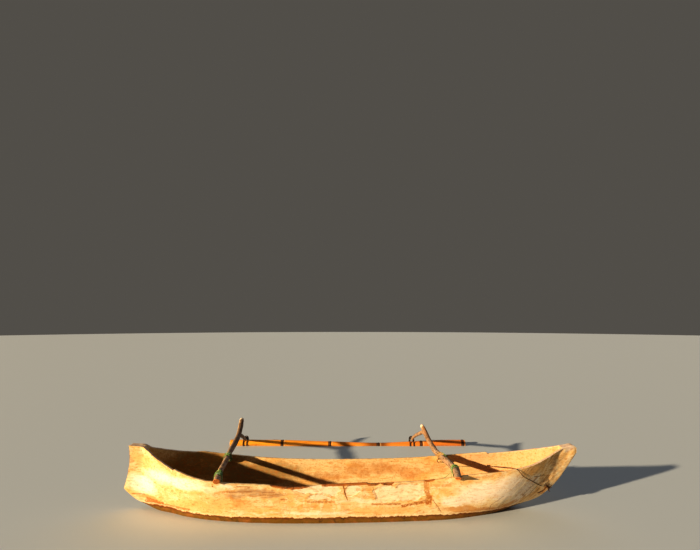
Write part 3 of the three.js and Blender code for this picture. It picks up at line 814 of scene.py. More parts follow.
class HewnWood(Finish):
    """The hull's bare wood: where its sides are, its grain, and its bleached and torn places."""

    def __init__(self, name):
        super().__init__(name)
        inside = self.grown("inside")
        self.outside = 1.0 - self.rise(inside, 0.2, 0.8)
        self.near = (1.0 - self.rise(self.y, -0.02, 0.02)) * self.outside
        self.hollow = self.rise(inside, 0.6, 0.9)
        self.grain = self.stretched((2.2, 40.0, 40.0), 5.0, 0.62, 0.5)
        self.fibre = self.stretched((11.0, 230.0, 230.0), 3.0, 0.6)
        self.thread = self.stretched((13.0, 75.0, 75.0), 4.0, 0.65)
        self.broad = self.stretched((2.0, 3.0, 7.0), 3.0, 0.55, 0.6)
        self.fleck = self.stretched((30.0, 75.0, 75.0), 3.0)
        self.chip = self.stretched((22.0, 60.0, 24.0), 4.0, 0.62)
        self.mottle = self.cloud(self.whole, 16.0, 4.0, 0.62, 0.4)
        self.speck = self.cloud(self.whole, 70.0, 4.0, 0.62)
        self.rag = self.cloud(self.whole, 30.0, 4.0, 0.68)
        ragged, specked, grained = self.rag - 0.5, self.speck - 0.5, self.grain - 0.5
        self.frayed = ragged * 0.55 + specked * 0.35 + grained * 0.35
        self.bleached = self.rise(self.grown("bleached") + self.frayed * 0.8, 0.34, 0.84)
        self.torn = self.rise(self.grown("torn") + self.frayed * 0.8, 0.40, 0.66)


def worn_outside(wood):
    """Outside: straw-coloured sapwood, gilded, bleached and torn in places, and bruised, with a painted
    highlight whitening the stern's flare.
    """
    far_out = wood.outside * (1.0 - wood.near)
    drawn = wood.stretched((3.0, 14.0, 26.0), 4.0, 0.60, 0.3)
    paled = wood.rise(wood.mottle, 0.46, 0.66) * (1.0 - far_out * 0.75)
    paled = paled + wood.rise(drawn, 0.48, 0.62) * far_out
    gilded = wood.rise(wood.grown("gilded") + wood.frayed, 0.35, 0.75)
    # Painted highlight: the stern's flare, where the low sun strikes, is whitened further.
    flare_highlight = (1.0 - wood.rise(wood.x, -1.50, -1.20)) * wood.rise(wood.z, 0.12, 0.22)
    chalked = wood.rise(wood.grown("bleached") + wood.frayed * 0.6, 0.45, 1.05)
    torn_edge = wood.rise(wood.grown("torn") + wood.frayed * 0.8, 0.30, 0.40) - wood.torn
    bruised = wood.rise(wood.grown("bruised") + wood.frayed * 1.2, 0.30, 0.85)
    bruised = bruised * wood.rise(wood.grain, 0.30, 0.46)
    bruise = wood.blend(wood.rise(wood.x, 1.80, 1.86), BRUISE, PINK_GREY)
    combed_in = 0.62 + wood.rise(wood.thread, 0.40, 0.56) * 0.38
    rusted = wood.rise(wood.grown("rusted") + wood.frayed * 1.2, 0.30, 0.70)
    return wood.coated(wood.blend(wood.rise(wood.broad, 0.34, 0.62), GOLD, STRAW), [
        (paled * 0.60, CREAM),
        (gilded * 0.70, GOLD),
        (wood.bleached * 0.85, CREAM),
        (chalked * (0.45 + flare_highlight * 0.40), CHALK_AND_HIGHLIGHT),
        (wood.torn * 0.55, CREAM),
        (wood.torn * 0.22, CHALK_AND_HIGHLIGHT),
        (torn_edge * wood.rise(wood.fleck, 0.44, 0.58) * 0.50, AMBER),
        (bruised * combed_in * 0.90, bruise),
        (rusted * 0.70, AMBER),
    ])


def hewn_bow(wood, colour):
    """Near cheek of the bow, combed with slanting cuts, and the greyed top of its block."""
    x, y, z = wood.x, wood.y, wood.z
    scratch = wood.cloud(wood.point((x + z) * 6.0, y * 6.0, (z - x) * 62.0), 1.0, 4.0, 0.66, 0.3)
    block = wood.rise(x, 1.74, 1.82)
    browned = wood.rise(x, 1.30, 1.50) * (1.0 - block * 0.8) * wood.near
    browned = browned * (1.0 - wood.rise(wood.grown("gilded"), 0.2, 0.6))
    combed = wood.rise(x, 1.28, 1.50) * (1.0 - block) * wood.near
    tip = wood.near * wood.rise(z + (wood.mottle - 0.5) * 0.03, 0.494, 0.518) * wood.rise(x, 1.70, 1.80)
    return wood.coated(colour, [
        (browned * wood.rise(scratch, 0.46, 0.58) * 0.45, HEWN_BROWN),
        (combed * wood.rise(scratch, 0.54, 0.64) * 0.30, AMBER),
        (combed * wood.rise(scratch, 0.575, 0.635) * 0.42, BARK_BROWN),
        (tip * 0.85, PINK_GREY),
    ])


def smoked_and_shaded_hollow(wood):
    """Inside: honey-coloured and chipped, stained by smoke in places, darkened with painted shade over the
    stern half, and dark down in the bilge.
    """
    aft = 1.0 - wood.rise(wood.x, -0.45, -0.20)
    smoke_and_shade = wood.rise(wood.grown("smoke_and_shade") + wood.frayed * 1.1, 0.25, 0.95)
    low = 1.0 - wood.rise(wood.z + (wood.mottle - 0.5) * 0.08, -0.02, 0.14)
    return wood.coated(wood.blend(wood.rise(wood.broad, 0.30, 0.54), GOLD, HONEY), [
        (wood.rise(wood.x, 0.8, 1.3) * 0.8, BOW_HONEY),
        # Painted shade: in the stern half the patches turn dark brown, where the inside lies in shadow.
        (smoke_and_shade * (0.60 + aft * 0.25), wood.blend(aft, AMBER, PAINTED_SHADE_BROWN)),
        (smoke_and_shade * wood.rise(wood.chip, 0.48, 0.66) * 0.38, RUSSET),
        (wood.rise(wood.chip, 0.54, 0.72) * 0.35, AMBER),
        (wood.rise(wood.speck, 0.58, 0.70) * 0.45, AMBER),
        (low * 0.80, BARK_BROWN),
    ])


def grained(wood, colour):
    """Threads, fibres and flecks of the grain, fainter where the wood is bleached or torn."""
    clean = 1.0 - wood.bleached.most(wood.torn) * 0.65
    return wood.coated(colour, [
        (wood.rise(wood.grain, 0.52, 0.70) * 0.45, GOLD),
        (wood.rise(wood.thread, 0.52, 0.64) * (1.0 - wood.bleached * 0.4) * 0.50, AMBER),
        (wood.rise(wood.fibre, 0.58, 0.80) * 0.35, AMBER),
        (wood.rise(wood.fleck, 0.57, 0.67) * clean * 0.55, AMBER),
        (wood.rise(wood.speck, 0.58, 0.70) * 0.50, RUSSET),
    ])


def stains_and_splits(wood):
    """How far the near side is stained and split, both of them broken up by specks."""
    turned = wood.cloud(wood.point(wood.y, wood.z, wood.x), 34.0, 4.0, 0.65)
    x, z = wood.x + (wood.rag - 0.5) * 0.030, wood.z + (turned - 0.5) * 0.018
    loose_x = x + (wood.mottle - 0.5) * 0.040 + (wood.speck - 0.5) * 0.016
    loose_z = z + (wood.speck - 0.5) * 0.012
    stained = marked(wood, loose_x, loose_z, STAINS, 0.007) * wood.near * wood.rise(wood.speck, 0.34, 0.50)
    split = marked(wood, x, z, SPLITS, 0.003) * wood.near * wood.rise(wood.speck, 0.28, 0.46)
    return stained, split


def decayed(wood, colour, stained, split):
    """Rust in the stains, dark wood in the splits, and a darker strip along the near gunwale's edge."""
    rust = wood.blend(wood.rise(wood.z + (wood.rag - 0.5) * 0.1, 0.16, 0.24), RUSSET, AMBER)
    rust = wood.blend(wood.rise(wood.mottle, 0.46, 0.60) * 0.6, rust, RUSSET)
    opened = wood.blend(wood.rise(wood.x, 1.10, 1.20), RUSSET, BARK_BROWN)
    darkened_edge = wood.rise(wood.grown("darkened_edge") + wood.frayed * 1.1, 0.42, 0.62)
    edge_dark = wood.blend(wood.rise(wood.mottle, 0.50, 0.62), RUSSET, BARK_BROWN)
    return wood.coated(colour, [(stained, rust), (split, opened), (darkened_edge * 0.92, edge_dark)])


def soaked_foot(wood, colour):
    """The wet brown band along the water, with a pale crest above it, and where it lies."""
    ripple = wood.cloud(wood.point(wood.x * 5.0, wood.y * 5.0, 0.0), 1.0, 3.0, 0.5)
    tide = wood.z + (ripple - 0.5) * 0.030 + (wood.rag - 0.5) * 0.040
    soaked = (1.0 - wood.rise(tide, 0.047, 0.052)) * wood.outside
    crest = (1.0 - wood.rise(abs(tide - 0.060), 0.002, 0.008)) * wood.outside
    damp = wood.coated(wood.blend(wood.rise(wood.mottle, 0.42, 0.70) * 0.55, OLIVE, RUSSET), [
        (wood.rise(tide, 0.028, 0.044) * 0.95, WET_BROWN),
        (wood.rise(wood.rag, 0.56, 0.68) * 0.7, SOOT),
    ])
    return wood.coated(colour, [(crest * 0.40, CREAM), (soaked * 0.96, damp)]), soaked


def wood_finish():
    wood = HewnWood("hewn_pale_wood")
    topped = wood.rise(wood.grown("upward"), 0.55, 0.85)
    topped = topped * wood.rise(wood.z + (wood.mottle - 0.5) * 0.04, 0.37, 0.42)
    stained, split = stains_and_splits(wood)
    colour = hewn_bow(wood, worn_outside(wood))
    colour = wood.coated(colour, [(wood.hollow, smoked_and_shaded_hollow(wood)), (topped * 0.80, PINK_GREY)])
    colour = decayed(wood, grained(wood, colour), stained, split)
    colour, soaked = soaked_foot(wood, colour)
    growth = wood.put("ShaderNodeTexWave", {"wave_type": "RINGS", "rings_direction": "X"}, {
        "Vector": wood.point(wood.x, wood.y, wood.z - 0.2), "Scale": 42.0, "Distortion": 3.0,
        "Detail": 2.0})
    colour = wood.blend(wood.grown("cut_end") * (0.15 + 0.40 * growth), colour, GOLD)
    height = (wood.grain * 0.5 + wood.fibre * 0.30 + wood.mottle * 0.5 - split * 1.5 - stained * 0.3
              - wood.torn * 0.8 + wood.chip * wood.hollow * 0.7 - wood.rise(wood.speck, 0.62, 0.8) * 0.3)
    roughness = 0.80 - soaked * 0.15 + wood.rise(wood.mottle, 0.4, 0.7) * 0.08
    wood.shader.inputs["Specular IOR Level"].default_value = 0.25
    return wood.finished(colour, roughness, height, 0.0030)


hull.data.materials.append(wood_finish())
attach(hull, "root")
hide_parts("hull")

# Floor: a pale plain surface at the waterline. It is cut out along the hull, which goes on
# below it, and it reaches far enough to fill the picture.
FLOOR_REACH = 60.0
FLOOR_TUCK = 0.006
FLOOR_LEAST_HALF = 0.006
FLOOR_STEPS = 400
FLOOR_COLOUR = (0.58, 0.64, 0.72)
FLOOR_ROUGHNESS = 0.9


def outer_half_breadth(x, z):
    section = outer_section(x)
    points = [side_point(section, i / CURVE_STEPS) for i in range(CURVE_STEPS + 1)]
    below = [y for y, height in points if height <= z]
    return below[0] if below else 0.0


def waterline_outline():
    steps = [STERN_X + (BOW_X - STERN_X) * i / FLOOR_STEPS for i in range(FLOOR_STEPS + 1)]
    wet = [(x, outer_half_breadth(x, 0.0) - FLOOR_TUCK) for x in steps]
    wet = [(x, half) for x, half in wet if half > FLOOR_LEAST_HALF]
    return [(x, -half) for x, half in wet] + [(x, half) for x, half in reversed(wet)]


def make_floor():
    mesh = bmesh.new()
    inner = [mesh.verts.new((x, y, 0.0)) for x, y in waterline_outline()]
    outer = []
    for vert in inner:
        angle = math.atan2(vert.co.y, vert.co.x)
        outer.append(mesh.verts.new((FLOOR_REACH * math.cos(angle), FLOOR_REACH * math.sin(angle), 0.0)))
    for i, vert in enumerate(inner):
        after = (i + 1) % len(inner)
        mesh.faces.new((vert, outer[i], outer[after], inner[after]))
    bmesh.ops.recalc_face_normals(mesh, faces=mesh.faces)
    if mesh.faces[0].normal.z < 0.0:
        bmesh.ops.reverse_faces(mesh, faces=mesh.faces)
    return placed("floor", mesh)


floor = make_floor()
floor_paint = bpy.data.materials.new("pale_floor")
floor_paint.use_nodes = True
floor_shader = floor_paint.node_tree.nodes["Principled BSDF"]
floor_shader.inputs["Base Color"].default_value = (*FLOOR_COLOUR, 1.0)
floor_shader.inputs["Roughness"].default_value = FLOOR_ROUGHNESS
floor.data.materials.append(floor_paint)

# Booms: two forked branches with the bark on, tied down on both gunwales. The stems end in a cut
# tip past the fork, and the side branches go down to the float. The inboard ends are cut on a slant.
Joint = namedtuple("Joint", "x y z radius")
BoomRoute = namedtuple("BoomRoute", "name slant stem branch")
BOOMS = [
    BoomRoute("boom_aft", 0.8, [
        Joint(-1.050, -0.374, 0.355, 0.0280), Joint(-1.082, -0.211, 0.354, 0.0250),
        Joint(-1.122, 0.088, 0.356, 0.0245), Joint(-1.149, 0.264, 0.358, 0.0265),
        Joint(-1.173, 0.460, 0.358, 0.0270), Joint(-1.198, 0.661, 0.356, 0.0290),
        Joint(-1.235, 0.900, 0.360, 0.0270), Joint(-1.261, 1.060, 0.404, 0.0285),
        Joint(-1.284, 1.190, 0.450, 0.0250),
    ], [
        Joint(-1.232, 0.860, 0.358, 0.0200), Joint(-1.255, 1.020, 0.322, 0.0210),
        Joint(-1.285, 1.260, 0.235, 0.0200), Joint(-1.330, 1.520, 0.140, 0.0180),
        Joint(-1.366, 1.700, 0.086, 0.0150), Joint(-1.360, 1.775, 0.090, 0.0140),
    ]),
    BoomRoute("boom_fore", 1.7, [
        Joint(0.864, -0.332, 0.363, 0.0270), Joint(0.886, -0.187, 0.364, 0.0300),
        Joint(0.878, -0.040, 0.366, 0.0290), Joint(0.853, 0.120, 0.366, 0.0280),
        Joint(0.822, 0.300, 0.368, 0.0270), Joint(0.821, 0.446, 0.370, 0.0270),
        Joint(0.821, 0.620, 0.374, 0.0260), Joint(0.827, 0.790, 0.384, 0.0270),
        Joint(0.824, 0.900, 0.408, 0.0240), Joint(0.817, 0.985, 0.430, 0.0215),
    ], [
        Joint(0.820, 0.800, 0.384, 0.0180), Joint(0.813, 0.920, 0.380, 0.0200),
        Joint(0.808, 1.060, 0.330, 0.0200), Joint(0.803, 1.250, 0.262, 0.0190),
        Joint(0.803, 1.540, 0.150, 0.0170), Joint(0.808, 1.700, 0.080, 0.0155),
        Joint(0.800, 1.775, 0.085, 0.0145),
    ]),
]
LIMB_SIDES = 28
LIMB_STEP = 0.010
SLANT_RINGS = 3
FUSE_GRID = 0.0036
BARK_RELIEF = 0.0016
BARK_SUNK = 0.55
CUT_RELIEF = 0.0005
CUT_REACH = 0.045
CUT_BACK = 0.0022
ROUTE_STEPS = 12
LEAST_SPAN = 1e-6


def smooth_route(points, step, loop=False):
    """Evenly spaced places on a curve through points, each with its point number and share."""
    count = len(points)
    spans = count if loop else count - 1

    def point_at(i):
        if loop:
            return points[i % count]
        if i < 0:
            return points[0] * 2.0 - points[1]
        return points[i] if i < count else points[-1] * 2.0 - points[-2]

    fine = []
    for i in range(spans):
        p0, p1, p2, p3 = (point_at(i + k) for k in (-1, 0, 1, 2))
        t0, t1 = 0.0, max((p1 - p0).length, LEAST_SPAN) ** 0.5
        t2 = t1 + max((p2 - p1).length, LEAST_SPAN) ** 0.5
        t3 = t2 + max((p3 - p2).length, LEAST_SPAN) ** 0.5
        for k in range(ROUTE_STEPS):
            t = t1 + (t2 - t1) * k / ROUTE_STEPS
            a1 = p0 * ((t1 - t) / (t1 - t0)) + p1 * ((t - t0) / (t1 - t0))
            a2 = p1 * ((t2 - t) / (t2 - t1)) + p2 * ((t - t1) / (t2 - t1))
            a3 = p2 * ((t3 - t) / (t3 - t2)) + p3 * ((t - t2) / (t3 - t2))
            b1 = a1 * ((t2 - t) / (t2 - t0)) + a2 * ((t - t0) / (t2 - t0))
            b2 = a2 * ((t3 - t) / (t3 - t1)) + a3 * ((t - t1) / (t3 - t1))
            place = b1 * ((t2 - t) / (t2 - t1)) + b2 * ((t - t1) / (t2 - t1))
            fine.append((place, i + k / ROUTE_STEPS))
    fine.append((points[0 if loop else -1].copy(), float(spans)))
    ways = [0.0]
    for (a, _), (b, _) in zip(fine, fine[1:]):
        ways.append(ways[-1] + (b - a).length)
    steps = max(round(ways[-1] / step), 2)
    places = []
    for k, t in even_spots(ways, steps + (0 if loop else 1), steps):
        (a, share_a), (b, share_b) = fine[k], fine[k + 1]
        places.append((a.lerp(b, t), share_a + (share_b - share_a) * t))
    return places


def radius_at(joints, share):
    """Radius at a share, counted in joints, of the way along a limb."""
    k = min(int(share), len(joints) - 2)
    return joints[k].radius + (joints[k + 1].radius - joints[k].radius) * (share - k)


def add_limb(mesh, joints, slant=0.0):
    """Round limb along its joints, its first end sheared by the slant, both ends closed."""
    places = smooth_route([Vector(joint[:3]) for joint in joints], LIMB_STEP)
    rings, side = [], Vector((1.0, 0.0, 0.0))
    for i, (centre, share) in enumerate(places):
        before, after = places[max(i - 1, 0)][0], places[min(i + 1, len(places) - 1)][0]
        along = (after - before).normalized()
        side = (side - along * side.dot(along)).normalized()
        up = along.cross(side)
        radius = radius_at(joints, share)
        ring = []
        for j in range(LIMB_SIDES):
            angle = 2 * math.pi * j / LIMB_SIDES
            place = centre + (side * math.cos(angle) + up * math.sin(angle)) * radius
            if i < SLANT_RINGS:
                place -= along * slant * (place.z - centre.z) * (1.0 - i / SLANT_RINGS)
            ring.append(mesh.verts.new(place))
        rings.append(ring)
    join_rings(mesh, rings)
    mesh.faces.new(rings[0][::-1])
    mesh.faces.new(rings[-1])
    return places


def fused(name, mesh):
    """Runs the limbs together into one skin and hands back its object."""
    bmesh.ops.recalc_face_normals(mesh, faces=mesh.faces)
    made = placed(name, mesh)
    modifier = made.modifiers.new("fuse", "REMESH")
    modifier.mode = "VOXEL"
    modifier.voxel_size = FUSE_GRID
    modifier.use_smooth_shade = True
    depsgraph = bpy.context.evaluated_depsgraph_get()
    skin = bpy.data.meshes.new_from_object(made.evaluated_get(depsgraph))
    made.modifiers.clear()
    made.data = skin
    return made


def bark_height(place, seed):
    """How far the bark stands out: long ridges, knobs and small scars, in metres."""
    ridge = noise.noise(Vector((place.x * 60, place.y * 14 + seed, place.z * 60)))
    knob = noise.noise(Vector((place.x * 18, place.y * 11 + seed, place.z * 18)))
    scar = noise.noise(Vector((place.x * 140, place.y * 50, place.z * 140)))
    return BARK_RELIEF * (1.1 * ridge + 1.0 * knob + 0.5 * scar - BARK_SUNK)


def make_boom(route, seed):
    """Stem and branch run together, with bark on their sides and their ends cut flat."""
    mesh = bmesh.new()
    stem = add_limb(mesh, route.stem, route.slant)
    branch = add_limb(mesh, route.branch)
    boom = fused(route.name.replace("boom_", "forked_boom_"), mesh)
    start, along = stem[0][0], (stem[1][0] - stem[0][0]).normalized()
    ends = [(stem[-1][0], (stem[-1][0] - stem[-2][0]).normalized()),
            (branch[-1][0], (branch[-1][0] - branch[-2][0]).normalized())]
    low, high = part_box(route.name)
    skin = bmesh.new()
    skin.from_mesh(boom.data)
    skin.normal_update()
    cut_layer = skin.verts.layers.float.new("cut_end")
    for vert in skin.verts:
        place = vert.co
        past_slant = (start - place).dot(along) - route.slant * (place.z - start.z)
        past_ends = [(place - end).dot(way) for end, way in ends if (place - end).length < CUT_REACH]
        cut = max([past_slant, *past_ends]) > -CUT_BACK
        vert[cut_layer] = float(cut)
        depth = CUT_RELIEF * noise.noise(place * 150.0) if cut else bark_height(place, seed)
        vert.co = kept_between(place + vert.normal * depth, low, high)
    skin.normal_update()
    # How far each point faces the stern, toward the key light; the bark's finish paints that side as
    # sunlit.
    aftward_layer = skin.verts.layers.float.new("aftward")
    for vert in skin.verts:
        vert[aftward_layer] = -vert.normal.x
    skin.to_mesh(boom.data)
    skin.free()
    for polygon in boom.data.polygons:
        polygon.use_smooth = True
    return boom


# Bark from grey brown in the shade to tan where it has worn through, a gold and a fawn painted on as
# sunlight on the side that faces the stern, and bare cut wood.
BARK_DARK = (0.150, 0.085, 0.050)
BARK_GREY = (0.400, 0.285, 0.215)
BARK_TAN = (0.620, 0.360, 0.170)
BARK_PALE = (0.740, 0.560, 0.380)
SUNLIT_BARK_FAWN = (0.450, 0.280, 0.155)
BARK_RED = (0.480, 0.230, 0.095)
SUNLIT_BARK_GOLD = (0.780, 0.500, 0.240)
CUT_ORANGE = (0.850, 0.290, 0.070)
CUT_PALE = (0.900, 0.780, 0.620)


def bark_finish(name, worn, outboard, sunlit_tone, bare_from_y):
    """Bark, worn through to tan wood over some of it, with its own tone outboard, painted light in a
    sunlit tone along the side that faces the stern, and cut bare at the tip."""
    bark = Finish(name)
    cut_end = bark.grown("cut_end")
    furrow = bark.stretched((75.0, 15.0, 75.0), 4.0, 0.65, 0.5)
    knot = bark.stretched((30.0, 14.0, 30.0), 2.0, 0.5)
    blotch, lichen, scale, rings = (bark.cloud(bark.whole, size, 3.0, 0.6)
                                    for size in (13.0, 55.0, 120.0, 90.0))
    # Painted light: the side that faces the stern, toward the low sun, takes the sunlit tone.
    lit = bark.rise(bark.grown("aftward") + (lichen - 0.5) * 0.8, 0.36, 1.00)
    topped = bark.rise(bark.y, bare_from_y, bare_from_y + 0.025) * bark.rise(bark.z, 0.38, 0.40)
    bare = bark.blend(1.0 - bark.rise(bark.y, 0.0, 0.1), CUT_PALE, CUT_ORANGE)
    bare = bark.blend(bark.rise(rings, 0.52, 0.66) * 0.6, bare, RUSSET)
    worn_through = bark.rise(blotch, 0.60 - worn, 0.74 - worn)
    colour = bark.coated(bark.blend(worn_through, BARK_GREY, BARK_TAN), [
        (bark.rise(bark.y, 0.2, 0.6) * 0.80, outboard),
        (lit * 0.75, sunlit_tone),
        (bark.rise(furrow, 0.50, 0.62) * 0.90, BARK_DARK),
        (bark.rise(lichen, 0.58, 0.66) * 0.45, BARK_PALE),
        (bark.rise(scale, 0.56, 0.68) * 0.55, BARK_DARK),
        (bark.rise(knot, 0.56, 0.66) * 0.55, BARK_DARK),
        (topped * 0.80, CUT_PALE),
        (cut_end, bare),
    ])
    return bark.finished(colour, 0.86 - cut_end * 0.12, furrow * -1.0 + scale * 0.4, 0.0016)


# The last tone of each is painted sunlight on the side that faces the stern.
boom_finishes = [bark_finish("grey_bark", 0.02, BARK_DARK, SUNLIT_BARK_GOLD, 1.148),
                 bark_finish("worn_bark", 0.04, BARK_RED, SUNLIT_BARK_FAWN, 0.928)]
for number, route in enumerate(BOOMS):
    boom = make_boom(route, 11.0 * number)
    boom.data.materials.clear()
    boom.data.materials.append(boom_finishes[number])
    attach(boom, "root")
    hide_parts(route.name)

# Gunwale lashings: turns of thin green twine over each boom and under the lug inside the wall,
# fanned out over the boom and drawn together below it, with the ends left long.
Turn = namedtuple("Turn", "right left below")
Lashing = namedtuple("Lashing", "node boom side turns ends")
TWINE = 0.0023
TWINE_LAY = 0.013
TWINE_STEP = 0.0035
TWINE_GAP = 0.0004

# Each cord is three strands: how far out they lie and how thick they are, as shares of its radius.
STRAND_OFF = 0.536
STRAND_THICK = 0.500

# How the turns lie: points over the boom, turns on top of the others, and the legs down to the lug.
OUTLINE_STEPS = 12
CROSSING_TURNS = 2
LEG_SPREAD = 0.75
LUG_TUCK = 0.9
LASHINGS = [
    Lashing("lashing_aft_near", 0, -1, [
        Turn(-0.205, -0.196, -0.246), Turn(-0.214, -0.206, -0.249), Turn(-0.221, -0.231, -0.252),
        Turn(-0.238, -0.228, -0.255), Turn(-0.246, -0.251, -0.258), Turn(-0.259, -0.250, -0.261),
        Turn(-0.266, -0.276, -0.264), Turn(-0.283, -0.274, -0.268), Turn(-0.290, -0.298, -0.271),
        Turn(-0.262, -0.232, -0.274), Turn(-0.240, -0.268, -0.250),
    ], [
        [(-1.103, -0.232, 0.352), (-1.112, -0.224, 0.338), (-1.116, -0.220, 0.318)],
    ]),
    Lashing("lashing_aft_far", 0, 1, [
        Turn(0.158, 0.150, 0.238), Turn(0.172, 0.158, 0.241), Turn(0.181, 0.170, 0.245),
        Turn(0.196, 0.176, 0.249), Turn(0.203, 0.190, 0.253), Turn(0.218, 0.196, 0.257),
        Turn(0.226, 0.208, 0.261), Turn(0.190, 0.186, 0.246),
    ], [
        [(-1.175, 0.240, 0.352), (-1.186, 0.232, 0.340), (-1.192, 0.228, 0.320)],
    ]),
    Lashing("lashing_fore_near", 1, -1, [
        Turn(-0.105, -0.150, -0.196), Turn(-0.113, -0.160, -0.199), Turn(-0.124, -0.168, -0.203),
        Turn(-0.132, -0.144, -0.207), Turn(-0.168, -0.154, -0.211), Turn(-0.160, -0.176, -0.215),
        Turn(-0.120, -0.178, -0.219), Turn(-0.142, -0.134, -0.223),
    ], [
        [(0.850, -0.166, 0.352), (0.842, -0.190, 0.344), (0.838, -0.214, 0.332)],
        [(0.848, -0.160, 0.360), (0.828, -0.184, 0.345), (0.790, -0.206, 0.326), (0.752, -0.220, 0.322)],
        [(0.916, -0.110, 0.372), (0.945, -0.090, 0.372), (0.990, -0.070, 0.362), (1.045, -0.050, 0.356)],
        [(0.914, -0.122, 0.376), (0.930, -0.130, 0.386), (0.950, -0.128, 0.384)],
    ]),
    Lashing("lashing_fore_far", 1, 1, [
        Turn(0.100, 0.150, 0.193), Turn(0.108, 0.160, 0.197), Turn(0.118, 0.168, 0.201),
        Turn(0.126, 0.176, 0.205), Turn(0.136, 0.184, 0.209), Turn(0.146, 0.192, 0.213),
        Turn(0.156, 0.200, 0.217), Turn(0.128, 0.164, 0.206),
    ], [
        [(0.876, 0.128, 0.372), (0.888, 0.118, 0.362), (0.896, 0.112, 0.346)],
    ]),
]


def twine_nodes():
    """Geometry nodes that lay three strands along a route of edges."""
    tree = bpy.data.node_groups.new("laid_cord", "GeometryNodeTree")
    rows = [("Route", "Geometry", None), ("Radius", "Float", TWINE), ("Lay", "Float", TWINE_LAY),
            ("Step", "Float", TWINE_STEP), ("Fibre", "Material", None)]
    for name, kind, value in rows:
        socket = tree.interface.new_socket(name, in_out="INPUT", socket_type="NodeSocket" + kind)
        if value is not None:
            socket.default_value = value
    tree.interface.new_socket("Cord", in_out="OUTPUT", socket_type="NodeSocketGeometry")

    def put(kind, settings=None, sockets=None, output=0):
        return add_node(tree, kind, settings, sockets).outputs[output]

    def worked(operation, first, second):
        return put("ShaderNodeMath", {"operation": operation}, {0: first, 1: second})

    given = tree.nodes.new("NodeGroupInput").outputs
    route = put("GeometryNodeMeshToCurve", None, {"Mesh": given["Route"]})
    even = put("GeometryNodeResampleCurve", {"mode": "LENGTH"}, {"Curve": route, "Length": given["Step"]})
    length = put("GeometryNodeSplineParameter", output="Length")
    turn = worked("MULTIPLY", worked("DIVIDE", length, given["Lay"]), math.tau)
    laid = put("GeometryNodeSetCurveTilt", None, {"Curve": even, "Tilt": turn})
    off = worked("MULTIPLY", given["Radius"], STRAND_OFF)
    thick = worked("MULTIPLY", given["Radius"], STRAND_THICK)
    strand = put("GeometryNodeCurvePrimitiveCircle", None, {"Resolution": 6, "Radius": thick})
    corners = put("GeometryNodeMeshCircle", None, {"Vertices": 3, "Radius": off})
    strands = put("GeometryNodeInstanceOnPoints", None, {"Points": corners, "Instance": strand})
    profile = put("GeometryNodeRealizeInstances", None, {0: strands})
    cord = put("GeometryNodeCurveToMesh", None, {
        "Curve": laid, "Profile Curve": profile, "Fill Caps": True})
    cord = put("GeometryNodeSetShadeSmooth", None, {0: cord, "Shade Smooth": True})
    cord = put("GeometryNodeRealizeInstances", None, {0: cord})
    cord = put("GeometryNodeSetMaterial", None, {"Geometry": cord, "Material": given["Fibre"]})
    tree.links.new(cord, tree.nodes.new("NodeGroupOutput").inputs[0])
    return tree


twine_tree = twine_nodes()


def lay_cord(name, routes, radius, lay, step, fibre):
    """One object of laid cord along routes, each of them points and whether it closes."""
    points, edges = [], []
    for route, loop in routes:
        first = len(points)
        points += [place for place, _ in smooth_route([Vector(p) for p in route], step, loop)]
        edges += [(i, i + 1) for i in range(first, len(points) - 1)]
        if loop:
            edges.append((len(points) - 1, first))
    data = bpy.data.meshes.new(name)
    data.from_pydata(points, edges, [])
    made = bpy.data.objects.new(name, data)
    bpy.context.scene.collection.objects.link(made)
    modifier = made.modifiers.new("laid", "NODES")
    modifier.node_group = twine_tree
    values = {"Radius": radius, "Lay": lay, "Step": step, "Fibre": fibre}
    for item in twine_tree.interface.items_tree:
        if item.item_type == "SOCKET" and item.name in values:
            modifier[item.identifier] = values[item.name]
    depsgraph = bpy.context.evaluated_depsgraph_get()
    cord = bpy.data.meshes.new_from_object(made.evaluated_get(depsgraph), depsgraph=depsgraph)
    made.modifiers.clear()
    made.data = cord
    return made


def stem_at(route, y):
    """Middle and radius of a boom's stem where it crosses y."""
    places = smooth_route([Vector(joint[:3]) for joint in route.stem], LIMB_STEP)
    for (a, share_a), (b, share_b) in zip(places, places[1:]):
        if b.y >= y:
            break
    t = clipped((y - a.y) / (b.y - a.y))
    return a.lerp(b, t), radius_at(route.stem, share_a + (share_b - share_a) * t)


def lashing_route(lashing):
    """Turns over the boom and down round the lug. The last two lie on top of the others."""
    route = BOOMS[lashing.boom]
    lug_x = LUGS[2 * lashing.boom + (0 if lashing.side < 0 else 1)][0]
    bottom = outer_section(lug_x).sheer - LUG_DROP - LUG_HEIGHT
    half = LUG_LENGTH / 2
    turns, points = lashing.turns, []
    for number, turn in enumerate(turns):
        off = TWINE + TWINE_GAP + (2.0 * TWINE if number >= len(turns) - CROSSING_TURNS else 0.0)
        for i in range(OUTLINE_STEPS + 1):
            angle = math.pi * i / OUTLINE_STEPS
            y = turn.right + (turn.left - turn.right) * i / OUTLINE_STEPS
            middle, radius = stem_at(route, y)
            reach = radius + off
            points.append((middle.x + reach * math.cos(angle), y, middle.z + reach * math.sin(angle)))
        after = turns[min(number + 1, len(turns) - 1)]
        down = [(half + off, bottom + LUG_HEIGHT, LEG_SPREAD), (half + off, bottom, 1.0),
                (half * LUG_TUCK, bottom - off, 1.0)]
        legs = [(-x, z, share, turn.left) for x, z, share in down]
        legs += [(x, z, share, after.right) for x, z, share in reversed(down)]
        points += [(lug_x + x, above + (turn.below - above) * share, z) for x, z, share, above in legs]
    return points[:-len(legs)]


TWINE_GREEN = (0.240, 0.420, 0.130)
TWINE_TEAL = (0.300, 0.470, 0.320)
TWINE_BLEACHED = (0.560, 0.620, 0.380)
TWINE_BROWN = (0.260, 0.150, 0.070)
TWINE_TAN = (0.620, 0.400, 0.180)
BROWNED_BLEND = 0.008


